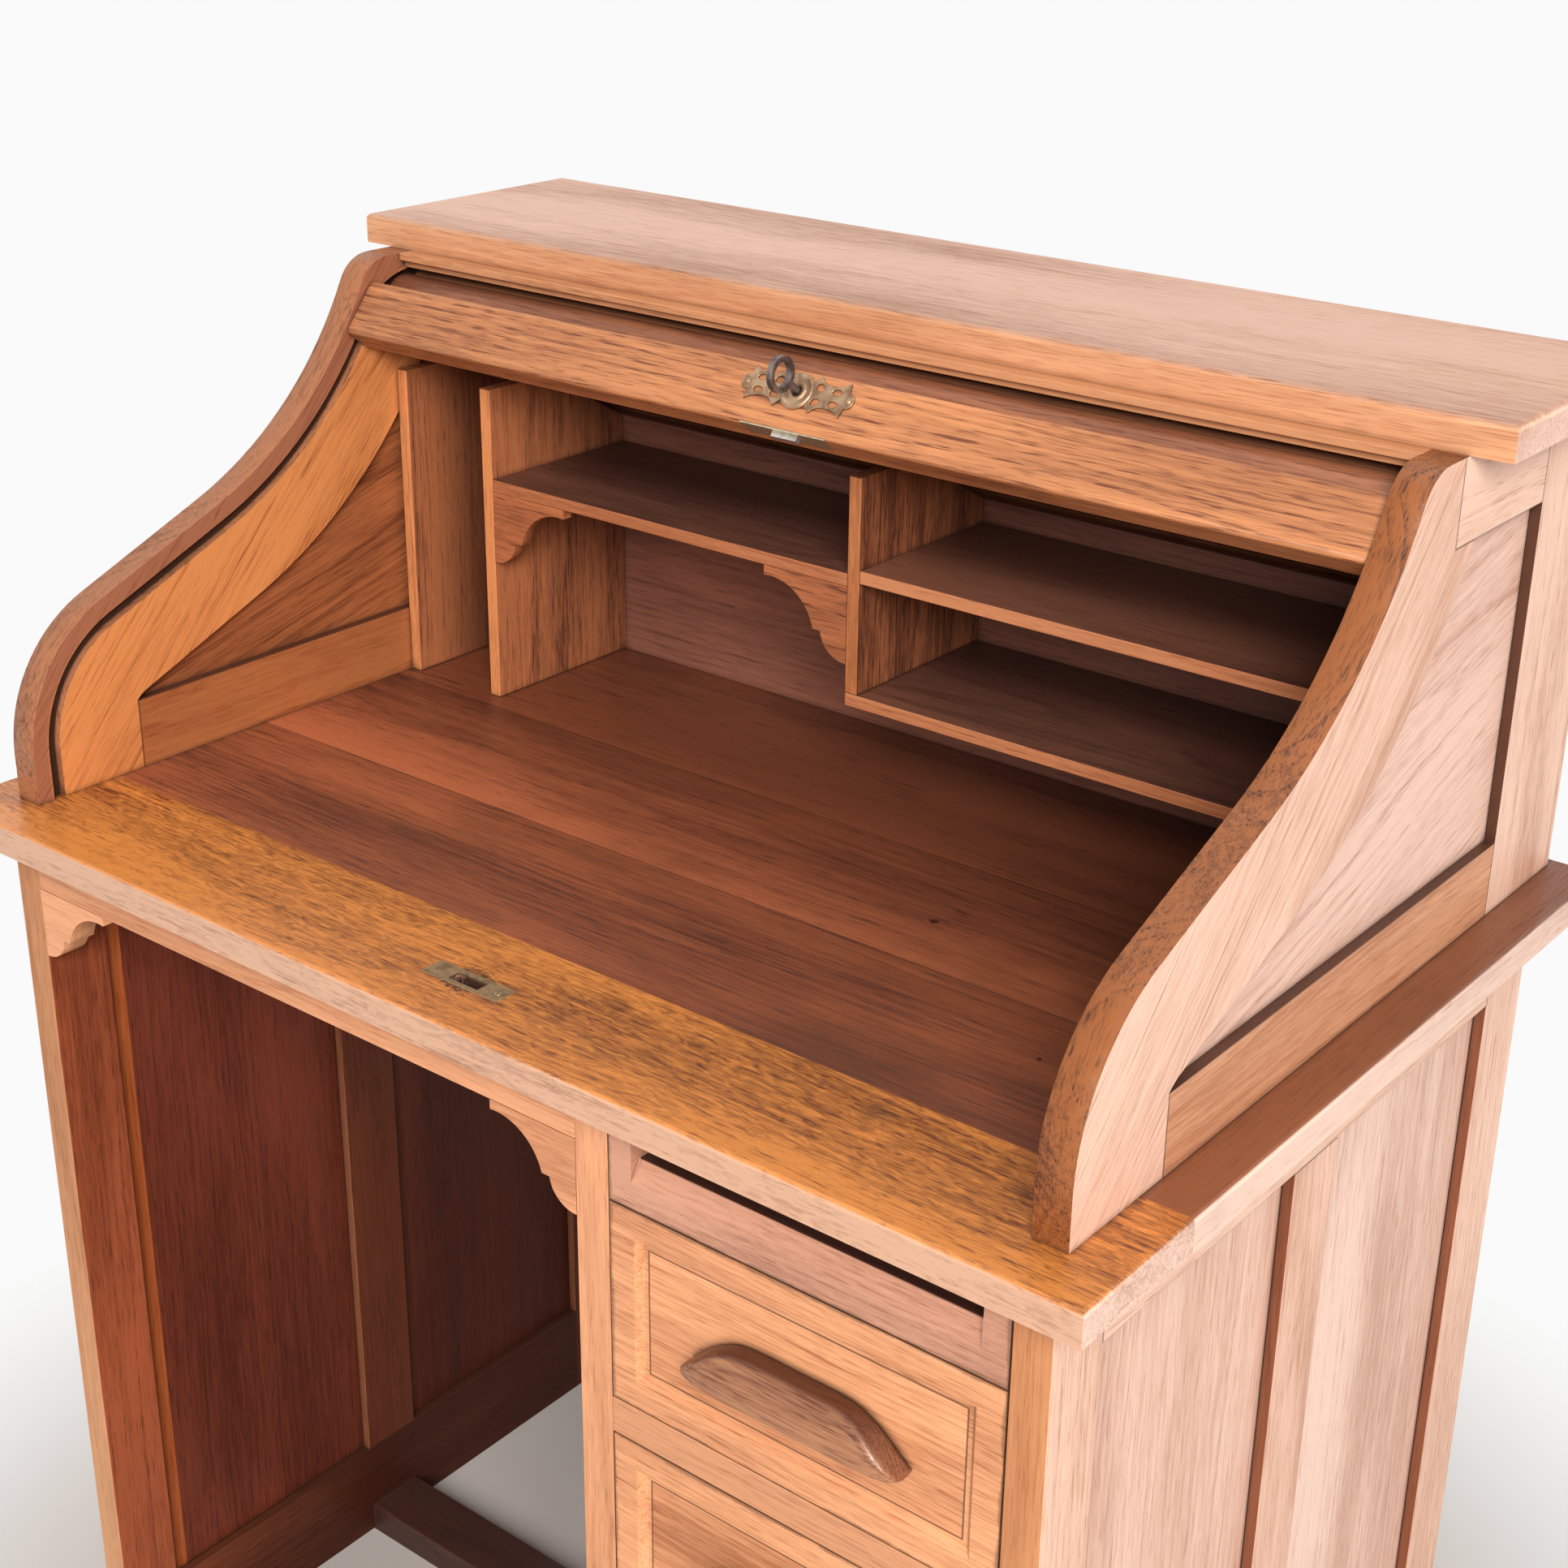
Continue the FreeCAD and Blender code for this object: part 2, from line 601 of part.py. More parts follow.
def reversed_edge(corners):
    """The same edge walked the other way."""
    back = []
    for index in range(len(corners) - 1, -1, -1):
        depth, height, leaving = corners[index]
        radius = corners[index - 1][2] if index else None
        back.append((depth, height, None if radius is None else -radius))
    return back


track_out = track_edge(S.slat_thick + S.groove_play)
track_in = track_edge(-S.groove_play)
groove_corners = placed(track_out + reversed_edge(track_in))
panel_inset_upper = (S.side_thick - S.panel_thick) / 2
for side, left, inner in (("left", -case_half, -side_inner - S.groove_depth),
                          ("right", side_inner, side_inner - S.overrun)):
    blank = profile("side_blank_" + side, "YZ", [placed(side_corners), placed(side_light(0))],
                    S.side_thick, (left, 0, 0))
    seat = profile("side_seat_" + side, "YZ", [placed(side_light(S.panel_tongue + S.panel_play))],
                   S.panel_thick + 2 * S.panel_play, (left + panel_inset_upper - S.panel_play, 0, 0))
    groove = profile("side_groove_" + side, "YZ", [groove_corners], S.groove_depth + S.overrun, (inner, 0, 0))
    keep(cut("upper_side_" + side, blank, [seat, groove]), "upper_side_" + side)
    keep(profile("upper_panel_" + side, "YZ", [placed(side_light(S.panel_tongue))], S.panel_thick,
                 (left + panel_inset_upper, 0, 0)), "upper_panel_" + side)
keep(board("upper_back", (-side_inner, front_edge + S.side_back - S.upper_back_thick, deck_top),
           (side_inner, front_edge + S.side_back, deck_top + side_height)), "upper_back")


# Top board and the stepped cornice under its front edge

top_low = deck_top + side_height
top_front = front_edge + S.top_front
top_back = front_edge + S.top_back
top_half = case_half + S.top_overhang
top_board = profile("top_board", "XY",
                    [rectangle(-top_half, top_front, top_half, top_back)],
                    S.top_thick, (0, 0, top_low))
rounded(top_board, "top_board_edges", S.top_round,
        lambda mid: mid.z > 0.9 * S.top_thick.value and mid.y < top_back.value - S.top_round.value)
keep(top_board, "top_board")
cornice_front = top_front - S.cornice_reach
cornice_low = top_low - S.cornice_height
cornice_middle = (top_low + cornice_low) / 2
cornice_corners = [
    (cornice_front, top_low, None), (cornice_front, cornice_middle, None),
    (cornice_front + S.cornice_step, cornice_middle, None),
    (cornice_front + S.cornice_step, cornice_low, None),
    (cornice_front + S.cornice_depth, cornice_low, None), (cornice_front + S.cornice_depth, top_low, None)]
keep(profile("cornice_rail", "YZ", [cornice_corners], 2 * side_inner, (-side_inner, 0, 0)), "cornice_rail")


# Gallery: uprights, shelves and shaped brackets in front of a thin back

gallery_front = front_edge + S.gallery_front
gallery_back = front_edge + S.gallery_back


def upright(name, left, low):
    """A gallery board whose upper back corner slopes away under the curtain."""
    high = deck_top + S.gallery_top
    corners = [(gallery_front, low, None), (gallery_back, low, None),
               (gallery_back, deck_top + S.gallery_back_top, None),
               (front_edge + S.gallery_slope_from, high, None), (gallery_front, high, None)]
    return profile(name, "YZ", [corners], S.gallery_board, (left, 0, 0))


def shelf(name, left, right, top):
    high = deck_top + top
    return board(name, (left, gallery_front, high - S.shelf_thick), (right, gallery_back, high))


slot_left = -side_inner + S.gallery_board
divider_left = slot_left + S.slot_width
middle_left = divider_left + S.gallery_board
middle_right = middle_left + S.middle_width
right_left = middle_right + S.gallery_board
keep(upright("gallery_end", -side_inner, deck_top), "gallery_end")
keep(upright("gallery_divider_left", divider_left, deck_top), "gallery_divider_left")
keep(upright("gallery_divider_middle", middle_right, deck_top + S.lower_shelf_top), "gallery_divider_middle")
keep(shelf("gallery_shelf_middle", middle_left, middle_right, S.middle_shelf_top), "gallery_shelf_middle")
keep(shelf("gallery_shelf_upper", right_left, side_inner, S.upper_shelf_top), "gallery_shelf_upper")
keep(shelf("gallery_shelf_lower", middle_right, side_inner, S.lower_shelf_top), "gallery_shelf_lower")
keep(board("gallery_back", (-side_inner, gallery_back, deck_top),
           (side_inner, gallery_back + S.gallery_back_thick, deck_top + S.gallery_back_top)), "gallery_back")
bracket_top = deck_top + S.middle_shelf_top - S.shelf_thick
bracket_back = gallery_front + S.gallery_bracket_thick
keep(group("gallery_brackets", [
    bracket("gallery_bracket_" + side, S.gallery_bracket_length, S.gallery_bracket_height,
            S.gallery_bracket_thick, (corner, bracket_back, bracket_top), hand)
    for side, corner, hand in (("left", middle_left, -1), ("right", middle_right, 1))]), "gallery_brackets")


# Curtain: where along its track each slat lies with the desk open, above the lock rail's upper edge

def track_point(length):
    """Depth and height of the track's line at a length from the deck."""
    corners = track_edge(0)
    for start, end in zip(corners, corners[1:]):
        here = FreeCAD.Vector(number(start[0]), number(start[1]), 0)
        there = FreeCAD.Vector(number(end[0]), number(end[1]), 0)
        straight = start[2] is None
        curve = Part.LineSegment(here, there) if straight else arc_between(here, there, number(start[2]))
        reach = curve.length()
        if length <= reach or end is corners[-1]:
            first, last = curve.FirstParameter, curve.LastParameter
            if not straight and number(start[2]) < 0:
                first, last = last, first
            return curve.value(first + (last - first) * length / reach)
        length -= reach


SPREAD_SHARES = (0.5, 1.0, 1.0, 1.0, 1.2182, 1.2273, 1.2364, 1.1636, 1.2, 1.0636, 1.0545, 1.0273,
                 1.0091, 1.0091, 1.0455)
TAIL_CANTS = {13: 3.0, 14: 6.0, 15: 10.0}


def laid(middle, half, cant=0.0):
    """Placement of a straight piece with both back edges on the track: its own Z runs up the curtain."""
    low = track_point(middle - half)
    high = track_point(middle + half)
    tilt = math.degrees(math.atan2(high.y - low.y, high.x - low.x)) + cant
    centre = (low + high) * 0.5
    base = FreeCAD.Vector(0, front_edge.value + centre.x, deck_top.value + centre.y)
    return FreeCAD.Placement(base, FreeCAD.Rotation(FreeCAD.Vector(1, 0, 0), tilt - 90))


slat_half = side_inner - S.slat_end_gap
slat_rise = (S.slat_pitch - S.slat_gap) / 2
bulge = S.slat_thick - S.slat_edge
slat_bend = (slat_rise * slat_rise + bulge * bulge) / (2 * bulge)
middle = S.curtain_open.value
for index, share in enumerate(SPREAD_SHARES):
    label = "slat_%02d" % (index + 1)
    middle += S.slat_pitch.value * share
    slat_corners = [(0, -slat_rise, None), (0, slat_rise, None),
                    (-S.slat_edge, slat_rise, slat_bend), (-S.slat_edge, -slat_rise, None)]
    slat = profile(label, "YZ", [slat_corners], 2 * slat_half)
    slat.Placement = laid(middle, slat_rise.value, TAIL_CANTS.get(index + 1, 0.0)).multiply(
        FreeCAD.Placement(FreeCAD.Vector(-slat_half.value, 0, 0), FreeCAD.Rotation()))
    keep(slat, label)


# Lock rail with its lock, key and plates: made upright about the track's line, then laid on the track

rail_half = (S.lock_rail_height - S.slat_gap) / 2
rail_front = S.lock_rail_back - S.lock_rail_thick
rail_place = laid(S.curtain_open.value - S.lock_rail_height.value / 2, rail_half.value)


def lay(piece, label, depth=0, up=0):
    """Lays a finished upright piece on the track and keeps it."""
    shift = FreeCAD.Placement(FreeCAD.Vector(0, number(depth), number(up)), FreeCAD.Rotation())
    piece.Placement = rail_place.multiply(shift)
    return keep(piece, label)


lock_front = rail_front + S.lock_setback
lock_back = lock_front + S.lock_thick
lock_middle = (lock_front + lock_back) / 2
lock_half = S.lock_width / 2
selvedge_half = S.selvedge_width / 2
key_up = S.key_height - rail_half
bore = S.key_radius + S.key_bore_gap


def key_rod(name, front, back, radius):
    """A round rod or passage on the key's axis between two depths."""
    return profile(name, "XZ", [], back - front, (0, back, key_up), [(0, 0, radius)])


rail_bend = S.lock_rail_round
rail_blank = profile("lock_rail_blank", "YZ", [[
    (S.lock_rail_back, -rail_half, None), (S.lock_rail_back, rail_half, None),
    (rail_front + rail_bend, rail_half, rail_bend), (rail_front, rail_half - rail_bend, None),
    (rail_front, rail_bend - rail_half, rail_bend), (rail_front + rail_bend, -rail_half, None)]],
    2 * slat_half, (-slat_half, 0, 0))
lock_seat = board("lock_seat", (-lock_half - S.lock_fit, lock_front - S.lock_fit, -rail_half - S.overrun),
                  (lock_half + S.lock_fit, lock_back + S.lock_fit, S.lock_height + S.lock_fit - rail_half))
selvedge_reach = S.selvedge_depth / 2
selvedge_seat = board(
    "selvedge_seat",
    (-selvedge_half - S.lock_fit, lock_middle - selvedge_reach - S.lock_fit, -rail_half - S.overrun),
    (selvedge_half + S.lock_fit, lock_middle + selvedge_reach + S.lock_fit, S.selvedge_thick - rail_half))
rail_bore = key_rod("rail_bore", rail_front - S.overrun, lock_front, bore)
lay(cut("lock_rail", rail_blank, [lock_seat, selvedge_seat, rail_bore]), "lock_rail")

# The lock is a hollow case let into the rail from below, with a selvedge that the bolt passes through
lock_top = S.lock_height - rail_half
lock_outer = board("lock_outer", (-lock_half, lock_front, -rail_half), (lock_half, lock_back, lock_top))
selvedge = board("selvedge", (-selvedge_half, lock_middle - selvedge_reach, -rail_half),
                 (selvedge_half, lock_middle + selvedge_reach, S.selvedge_thick - rail_half))
lock_inner = board("lock_inner",
                   (S.lock_wall - lock_half, lock_front + S.lock_wall, S.selvedge_thick - rail_half),
                   (lock_half - S.lock_wall, lock_back - S.lock_wall, lock_top - S.lock_wall))
bolt_half = S.bolt_width / 2
bolt_side = S.bolt_thick / 2
bolt_passage = board(
    "bolt_passage", (-bolt_half - S.bolt_fit, lock_middle - bolt_side - S.bolt_fit, -rail_half - S.overrun),
    (bolt_half + S.bolt_fit, lock_middle + bolt_side + S.bolt_fit, S.overrun - rail_half))
lock_bore = key_rod("lock_bore", lock_front - S.overrun, lock_front + S.overrun, bore)
lock_blank = fused("lock_blank", [lock_outer, selvedge])
lay(cut("lock_case", lock_blank, [lock_inner, bolt_passage, lock_bore]), "lock_case")
bolt = profile("lock_bolt", "XY", [rectangle(-bolt_half, -bolt_side, bolt_half, bolt_side)], S.bolt_length)
lay(bolt, "lock_bolt", lock_middle, -rail_half - S.bolt_show)

# The key stands straight out of the rail: a shank with a bit inside the lock and a ring bow outside
shank_back = lock_back - S.lock_wall - S.bolt_fit
shank_front = shank_back - S.key_length
shank = key_rod("key_shank", shank_front, shank_back, S.key_radius)
bow_middle = shank_front - S.key_ring_radius
bow = profile("key_bow", "YZ", [], 2 * S.key_ring_wire, (-S.key_ring_wire, bow_middle, key_up),
              [(0, 0, S.key_ring_radius + S.key_ring_wire), (0, 0, S.key_ring_radius - S.key_ring_wire)])
bit_half = S.key_bit_thick / 2
bit = board("key_bit", (-bit_half, shank_back - S.key_bit_width, key_up),
            (bit_half, shank_back, key_up + S.key_bit_reach))
lay(fused("key", [shank, bow, bit]), "key")

# Escutcheon: a pierced plate with a round hub and two pointed wings
WING_SHARES = ((0.24, 0.36), (0.42, 0.50), (0.56, 0.30), (0.76, 0.44), (0.86, 0.24), (1.0, 0.10))
PIERCED_SHARES = ((0.42, 0.26), (0.42, -0.26), (0.68, 0.18), (0.68, -0.18))
plate_half = S.plate_length / 2
quarter = [(plate_half * across, S.plate_height * up) for across, up in WING_SHARES]
plate_corners = quarter + [(across, -up) for across, up in reversed(quarter)]
plate_corners += [(-across, -up) for across, up in plate_corners]
pierced = [(plate_half * across * hand, S.plate_height * up, S.plate_hole_radius)
           for across, up in PIERCED_SHARES for hand in (-1, 1)]
wings = profile("plate_wings", "XZ", [[(across, up, None) for across, up in plate_corners]], S.plate_thick,
                (0, rail_front, key_up), pierced)
hub = key_rod("plate_hub", rail_front - S.plate_hub_thick, rail_front, S.plate_hub_radius)
plate_bore = key_rod("plate_bore", rail_front - S.overrun, rail_front + S.overrun, bore)
lay(cut("escutcheon", fused("plate_blank", [wings, hub]), [plate_bore]), "escutcheon")


# Every object must be sound before the pieces are written

doc.recompute()
faults = [item.Label for item in doc.Objects if "Invalid" in item.State or "Error" in item.State]
faults += [piece.Label for piece in pieces if piece.Shape.isNull() or not piece.Shape.isValid()]
if faults:
    raise RuntimeError("unsound: " + ", ".join(faults))
os.makedirs("parts", exist_ok=True)
for piece in pieces:
    piece.Shape.exportStep("parts/%s.step" % piece.Label)
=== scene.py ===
# A single-pedestal oak roll-top desk, standing open: the looks of each piece, in the order in which
# the desk is put together, from the writing deck to the lock. The solids give every shape and size.

import json
import math

import bmesh
import bpy
from mathutils import Matrix, Vector


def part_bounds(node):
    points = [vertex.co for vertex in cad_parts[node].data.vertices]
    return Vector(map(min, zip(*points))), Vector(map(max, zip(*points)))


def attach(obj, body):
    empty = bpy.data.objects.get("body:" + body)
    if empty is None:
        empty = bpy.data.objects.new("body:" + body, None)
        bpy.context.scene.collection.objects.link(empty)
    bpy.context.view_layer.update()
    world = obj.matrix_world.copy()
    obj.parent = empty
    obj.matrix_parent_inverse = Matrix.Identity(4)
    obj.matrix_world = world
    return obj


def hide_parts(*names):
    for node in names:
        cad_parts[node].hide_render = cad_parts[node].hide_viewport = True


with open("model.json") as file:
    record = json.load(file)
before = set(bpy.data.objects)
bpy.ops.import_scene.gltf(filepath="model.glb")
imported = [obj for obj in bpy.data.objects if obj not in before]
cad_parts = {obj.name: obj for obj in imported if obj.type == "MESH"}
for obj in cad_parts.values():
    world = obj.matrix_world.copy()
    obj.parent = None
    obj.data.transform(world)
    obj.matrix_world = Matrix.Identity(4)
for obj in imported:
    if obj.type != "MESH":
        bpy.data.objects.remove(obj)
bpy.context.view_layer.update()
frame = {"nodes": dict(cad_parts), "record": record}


# Writing deck: planks of oak glued edge to edge, waxed dark and scuffed by use, with ink spots. It is
# painted darker towards the back and the right as shade, and its ends carry a painted pale sheen.
# A lighter quarter-sawn strip, full of silvery flake, is glued along the front. Its front edge carries a painted
# pale sheen, and the floor of the strike plate's slot is painted dark as shade.

def put(tree, kind, sockets=None, **settings):
    """One shader node; a socket takes a plain value or another node's output."""
    node = tree.nodes.new(kind)
    for key, value in settings.items():
        setattr(node, key, value)
    for key, value in (sockets or {}).items():
        if isinstance(value, bpy.types.NodeSocket):
            tree.links.new(value, node.inputs[key])
        else:
            node.inputs[key].default_value = value
    return node


def sums(tree, operation, *terms, clamp=False):
    """One step of arithmetic on values."""
    sockets = dict(enumerate(terms))
    return put(tree, "ShaderNodeMath", sockets, operation=operation, use_clamp=clamp).outputs[0]


def vector_sum(tree, operation, *terms):
    """One step of arithmetic on vectors that gives a vector."""
    return put(tree, "ShaderNodeVectorMath", dict(enumerate(terms)), operation=operation).outputs["Vector"]


def vector_size(tree, operation, *terms):
    """One step of arithmetic on vectors that gives a value."""
    return put(tree, "ShaderNodeVectorMath", dict(enumerate(terms)), operation=operation).outputs["Value"]


def blend(tree, share, first, second, how="MIX"):
    """Two colours laid over each other."""
    sockets = {0: share, 6: first, 7: second}
    return put(tree, "ShaderNodeMix", sockets, data_type="RGBA", blend_type=how).outputs[2]


def ramp(tree, value, start, end, low=0.0, high=1.0):
    """A smooth step of a value from start to end."""
    sockets = {"Value": value, 1: start, 2: end, 3: low, 4: high}
    return put(tree, "ShaderNodeMapRange", sockets, interpolation_type="SMOOTHSTEP").outputs[0]


def grain_noise(tree, place, waves, detail=2.0, rough=0.5, curl=0.0):
    """Noise whose size along, across and through the wood is given in waves per metre."""
    spread = vector_sum(tree, "MULTIPLY", place, waves)
    sockets = {"Vector": spread, "Scale": 1.0, "Detail": detail, "Roughness": rough, "Distortion": curl}
    return put(tree, "ShaderNodeTexNoise", sockets).outputs


def group(name, inputs, outputs):
    """A shader node group with named sockets."""
    tree = bpy.data.node_groups.new(name, "ShaderNodeTree")
    for label, kind in inputs:
        tree.interface.new_socket(label, in_out="INPUT", socket_type="NodeSocket" + kind)
    for label, kind in outputs:
        tree.interface.new_socket(label, in_out="OUTPUT", socket_type="NodeSocket" + kind)
    return tree, tree.nodes.new("NodeGroupInput").outputs, tree.nodes.new("NodeGroupOutput").inputs


# Growth rings round the heart of the log, broken dark pores, fibre streaks and bands of flake
SWAY_WAVES, SWAY_REACH = (1.5, 8.0, 8.0), (0.0, 0.034, 0.034)
FIBRE_WAVES = (9.0, 330.0, 330.0)
PORE_WAVES = (48.0, 1050.0, 1050.0)
TONE_WAVES = (1.3, 8.0, 8.0)
FLAKE_WAVES = (52.0, 230.0, 230.0)
LOG_TAPER = 0.016
FIBRE_SHARE, TONE_SHARE, PORE_SHARE, FLAKE_SHARE, PALE_SHARE = 1.25, 3.1, 0.36, -3.2, -1.95
oak_figure, given, result = group(
    "oak_figure",
    [("Place", "Vector"), ("Pale", "Color"), ("Dark", "Color"), ("Ring", "Float"), ("Bold", "Float"),
     ("Flake", "Float")],
    [("Color", "Color"), ("Figure", "Float"), ("Roughness", "Float"), ("Height", "Float")])
sway = grain_noise(oak_figure, given["Place"], SWAY_WAVES, 3.0)["Color"]
swayed = vector_sum(oak_figure, "ADD", given["Place"], vector_sum(oak_figure, "MULTIPLY", sway, SWAY_REACH))
part = put(oak_figure, "ShaderNodeSeparateXYZ", {0: swayed}).outputs
square = sums(oak_figure, "MULTIPLY", part["Z"], part["Z"])
square = sums(oak_figure, "MULTIPLY_ADD", part["Y"], part["Y"], square)
from_heart = sums(oak_figure, "MULTIPLY_ADD", part["X"], LOG_TAPER, sums(oak_figure, "SQRT", square))
count = sums(oak_figure, "DIVIDE", from_heart, given["Ring"])
season = sums(oak_figure, "FRACT", count)
early = sums(oak_figure, "MULTIPLY", ramp(oak_figure, season, 0.0, 0.10), ramp(oak_figure, season, 0.60, 0.12))
year = sums(oak_figure, "FLOOR", count)
year = put(oak_figure, "ShaderNodeTexWhiteNoise", {"W": year}, noise_dimensions="1D").outputs["Value"]
early = sums(oak_figure, "MULTIPLY", early, ramp(oak_figure, year, 0.0, 1.0, 0.15, 1.0))
fibre = grain_noise(oak_figure, swayed, FIBRE_WAVES, 4.0, 0.62)[0]
pores = ramp(oak_figure, grain_noise(oak_figure, given["Place"], PORE_WAVES, 1.0)[0], 0.50, 0.68)
tone = grain_noise(oak_figure, swayed, TONE_WAVES, 4.0, 0.62)[0]
ripple = grain_noise(oak_figure, swayed, FLAKE_WAVES, 3.0, 0.6, 1.6)[0]
lines = sums(oak_figure, "MULTIPLY", early, sums(oak_figure, "MULTIPLY_ADD", pores, 0.6, 0.4))
share = sums(oak_figure, "MULTIPLY_ADD", lines, given["Bold"], PALE_SHARE)
share = sums(oak_figure, "MULTIPLY_ADD", fibre, FIBRE_SHARE, share)
share = sums(oak_figure, "MULTIPLY_ADD", tone, TONE_SHARE, share)
share = sums(oak_figure, "MULTIPLY_ADD", pores, PORE_SHARE, share)
cross = sums(oak_figure, "MULTIPLY", sums(oak_figure, "SUBTRACT", ripple, 0.5), given["Flake"])
share = sums(oak_figure, "MULTIPLY_ADD", cross, FLAKE_SHARE, share, clamp=True)
oak_figure.links.new(blend(oak_figure, share, given["Pale"], given["Dark"]), result["Color"])
oak_figure.links.new(share, result["Figure"])
dull = sums(oak_figure, "MULTIPLY_ADD", pores, 0.14, sums(oak_figure, "MULTIPLY_ADD", tone, 0.30, 0.26))
oak_figure.links.new(dull, result["Roughness"])
height = sums(oak_figure, "MULTIPLY_ADD", fibre, 0.5, sums(oak_figure, "MULTIPLY", lines, -0.7))
oak_figure.links.new(sums(oak_figure, "MULTIPLY_ADD", pores, -0.25, height), result["Height"])

# How near a point lies to the edges of its board, broken up as rubbing does it
RUB_WAVES = (38.0, 38.0, 38.0)
edge_rub, given, result = group(
    "edge_rub", [("Place", "Vector"), ("Low", "Vector"), ("High", "Vector"), ("Width", "Float")],
    [("Mask", "Float")])
from_low = vector_sum(edge_rub, "SUBTRACT", given["Place"], given["Low"])
from_high = vector_sum(edge_rub, "SUBTRACT", given["High"], given["Place"])
near = put(edge_rub, "ShaderNodeSeparateXYZ", {0: vector_sum(edge_rub, "MINIMUM", from_low, from_high)}).outputs
least = sums(edge_rub, "MINIMUM", near["X"], near["Y"])
most = sums(edge_rub, "MAXIMUM", near["X"], near["Y"])
second = sums(edge_rub, "MAXIMUM", least, sums(edge_rub, "MINIMUM", most, near["Z"]))
patchy = ramp(edge_rub, grain_noise(edge_rub, given["Place"], RUB_WAVES, 4.0, 0.65)[0], 0.3, 0.75, 0.25, 1.9)
second = sums(edge_rub, "DIVIDE", second, sums(edge_rub, "MULTIPLY", given["Width"], patchy))
edge_rub.links.new(ramp(edge_rub, second, 1.0, 0.15), result["Mask"])

# Whether a point lies in a member that is let into another, and the fine dark line where they meet
SEAM_OUT, SEAM_IN = 0.0009, 0.0003
let_in, given, result = group(
    "let_in", [("Place", "Vector"), ("Low", "Vector"), ("High", "Vector")],
    [("Inside", "Float"), ("Seam", "Float")])
from_low = vector_sum(let_in, "SUBTRACT", given["Low"], given["Place"])
from_high = vector_sum(let_in, "SUBTRACT", given["Place"], given["High"])
out = put(let_in, "ShaderNodeSeparateXYZ", {0: vector_sum(let_in, "MAXIMUM", from_low, from_high)}).outputs
furthest = sums(let_in, "MAXIMUM", sums(let_in, "MAXIMUM", out["X"], out["Y"]), out["Z"])
let_in.links.new(sums(let_in, "LESS_THAN", furthest, 0.0), result["Inside"])
let_in.links.new(ramp(let_in, sums(let_in, "ABSOLUTE", furthest), SEAM_OUT, SEAM_IN), result["Seam"])

# Dark spots of ink, dents and old stains
BLOTS_PER_METRE = 11.0
RAGGED_WAVES = (90.0, 90.0, 90.0)
CLOUD_WAVES = (4.0, 7.0, 7.0)
old_stain, given, result = group("old_stain", [("Place", "Vector"), ("Amount", "Float")], [("Mask", "Float")])
blots = put(old_stain, "ShaderNodeTexVoronoi",
            {"Vector": given["Place"], "Scale": BLOTS_PER_METRE, "Randomness": 1.0}).outputs
chance = put(old_stain, "ShaderNodeSeparateColor", {0: blots["Color"]}).outputs[0]
blot_size = ramp(old_stain, chance, 0.72, 1.0, 0.0, 0.16)
ragged = grain_noise(old_stain, given["Place"], RAGGED_WAVES, 3.0)[0]
blot_edge = sums(old_stain, "ADD", blots["Distance"], sums(old_stain, "MULTIPLY", ragged, 0.12))
spots = ramp(old_stain, sums(old_stain, "SUBTRACT", blot_size, blot_edge), -0.06, 0.02)
clouds = ramp(old_stain, grain_noise(old_stain, given["Place"], CLOUD_WAVES, 4.0, 0.6)[0], 0.52, 0.75, 0.0, 0.5)
spots = sums(old_stain, "MULTIPLY", sums(old_stain, "MAXIMUM", spots, clouds), given["Amount"])
old_stain.links.new(spots, result["Mask"])

# Dark colours for stains, ink, scars, grime and seams, also laid on as painted shade in corners, recesses, grooves and
# slots.
GRIME_AND_SHADE_BROWN = (0.045, 0.018, 0.010)
NEAR_BLACK = (0.024, 0.007, 0.005)
FIGURE_LIGHT, FIGURE_HEAVY = (1.14, 1.19, 1.22), (0.72, 0.60, 0.53)
# Paler edges: rubbed wear and a painted highlight.
RUBBED_BARE_AND_HIGHLIGHT = (1.45, 1.4, 1.35)
RUB_WIDTH, GRIME_WIDTH = 0.004, 0.0024
CORNER_REACH = 0.009
MARK_WAVES = (420.0, 420.0, 420.0)
HEART_ALONG, HEART_SIDE, HEART_DEPTH = 1.37, 0.045, 0.05
NEXT_BOARD = 1.9
LINE_SOFT = 0.004
WAXED = 0.38
PORE_DEPTH = 0.0005


def solid(colour):
    """A colour that covers."""
    return (*colour, 1.0)


def pointing(way):
    """A unit vector along an axis named by its letter, or up the slope of a side at an angle in degrees."""
    if isinstance(way, str):
        return Vector([float(letter == way) for letter in "XYZ"])
    return Vector((0.0, math.cos(math.radians(way)), math.sin(math.radians(way))))


def turned(tree, place, along, facing, seed, box):
    """A board's own coordinates: X along the grain and Z out of its face, with the log's heart at the origin."""
    grain, face = pointing(along), pointing(facing)
    turn = Matrix((grain, face.cross(grain), face))
    middle = (Vector(box[0]) + Vector(box[1])) / 2
    heart = Vector((seed * HEART_ALONG, HEART_SIDE * math.sin(seed * 5.3),
                    HEART_DEPTH + HEART_DEPTH * math.sin(seed * 3.1) ** 2))
    sockets = {"Vector": place, "Rotation": turn.to_euler("XYZ"), "Location": heart - turn @ middle}
    return put(tree, "ShaderNodeMapping", sockets).outputs[0]


def looking(tree, normal, way, cover=1.0):
    """A mask of the faces that look one way."""
    return ramp(tree, vector_size(tree, "DOT_PRODUCT", normal, way), 0.5, 0.95, 0.0, cover)


def within(tree, place, box):
    """The let_in group at a box."""
    return put(tree, "ShaderNodeGroup", {"Place": place, "Low": box[0], "High": box[1]}, node_tree=let_in).outputs


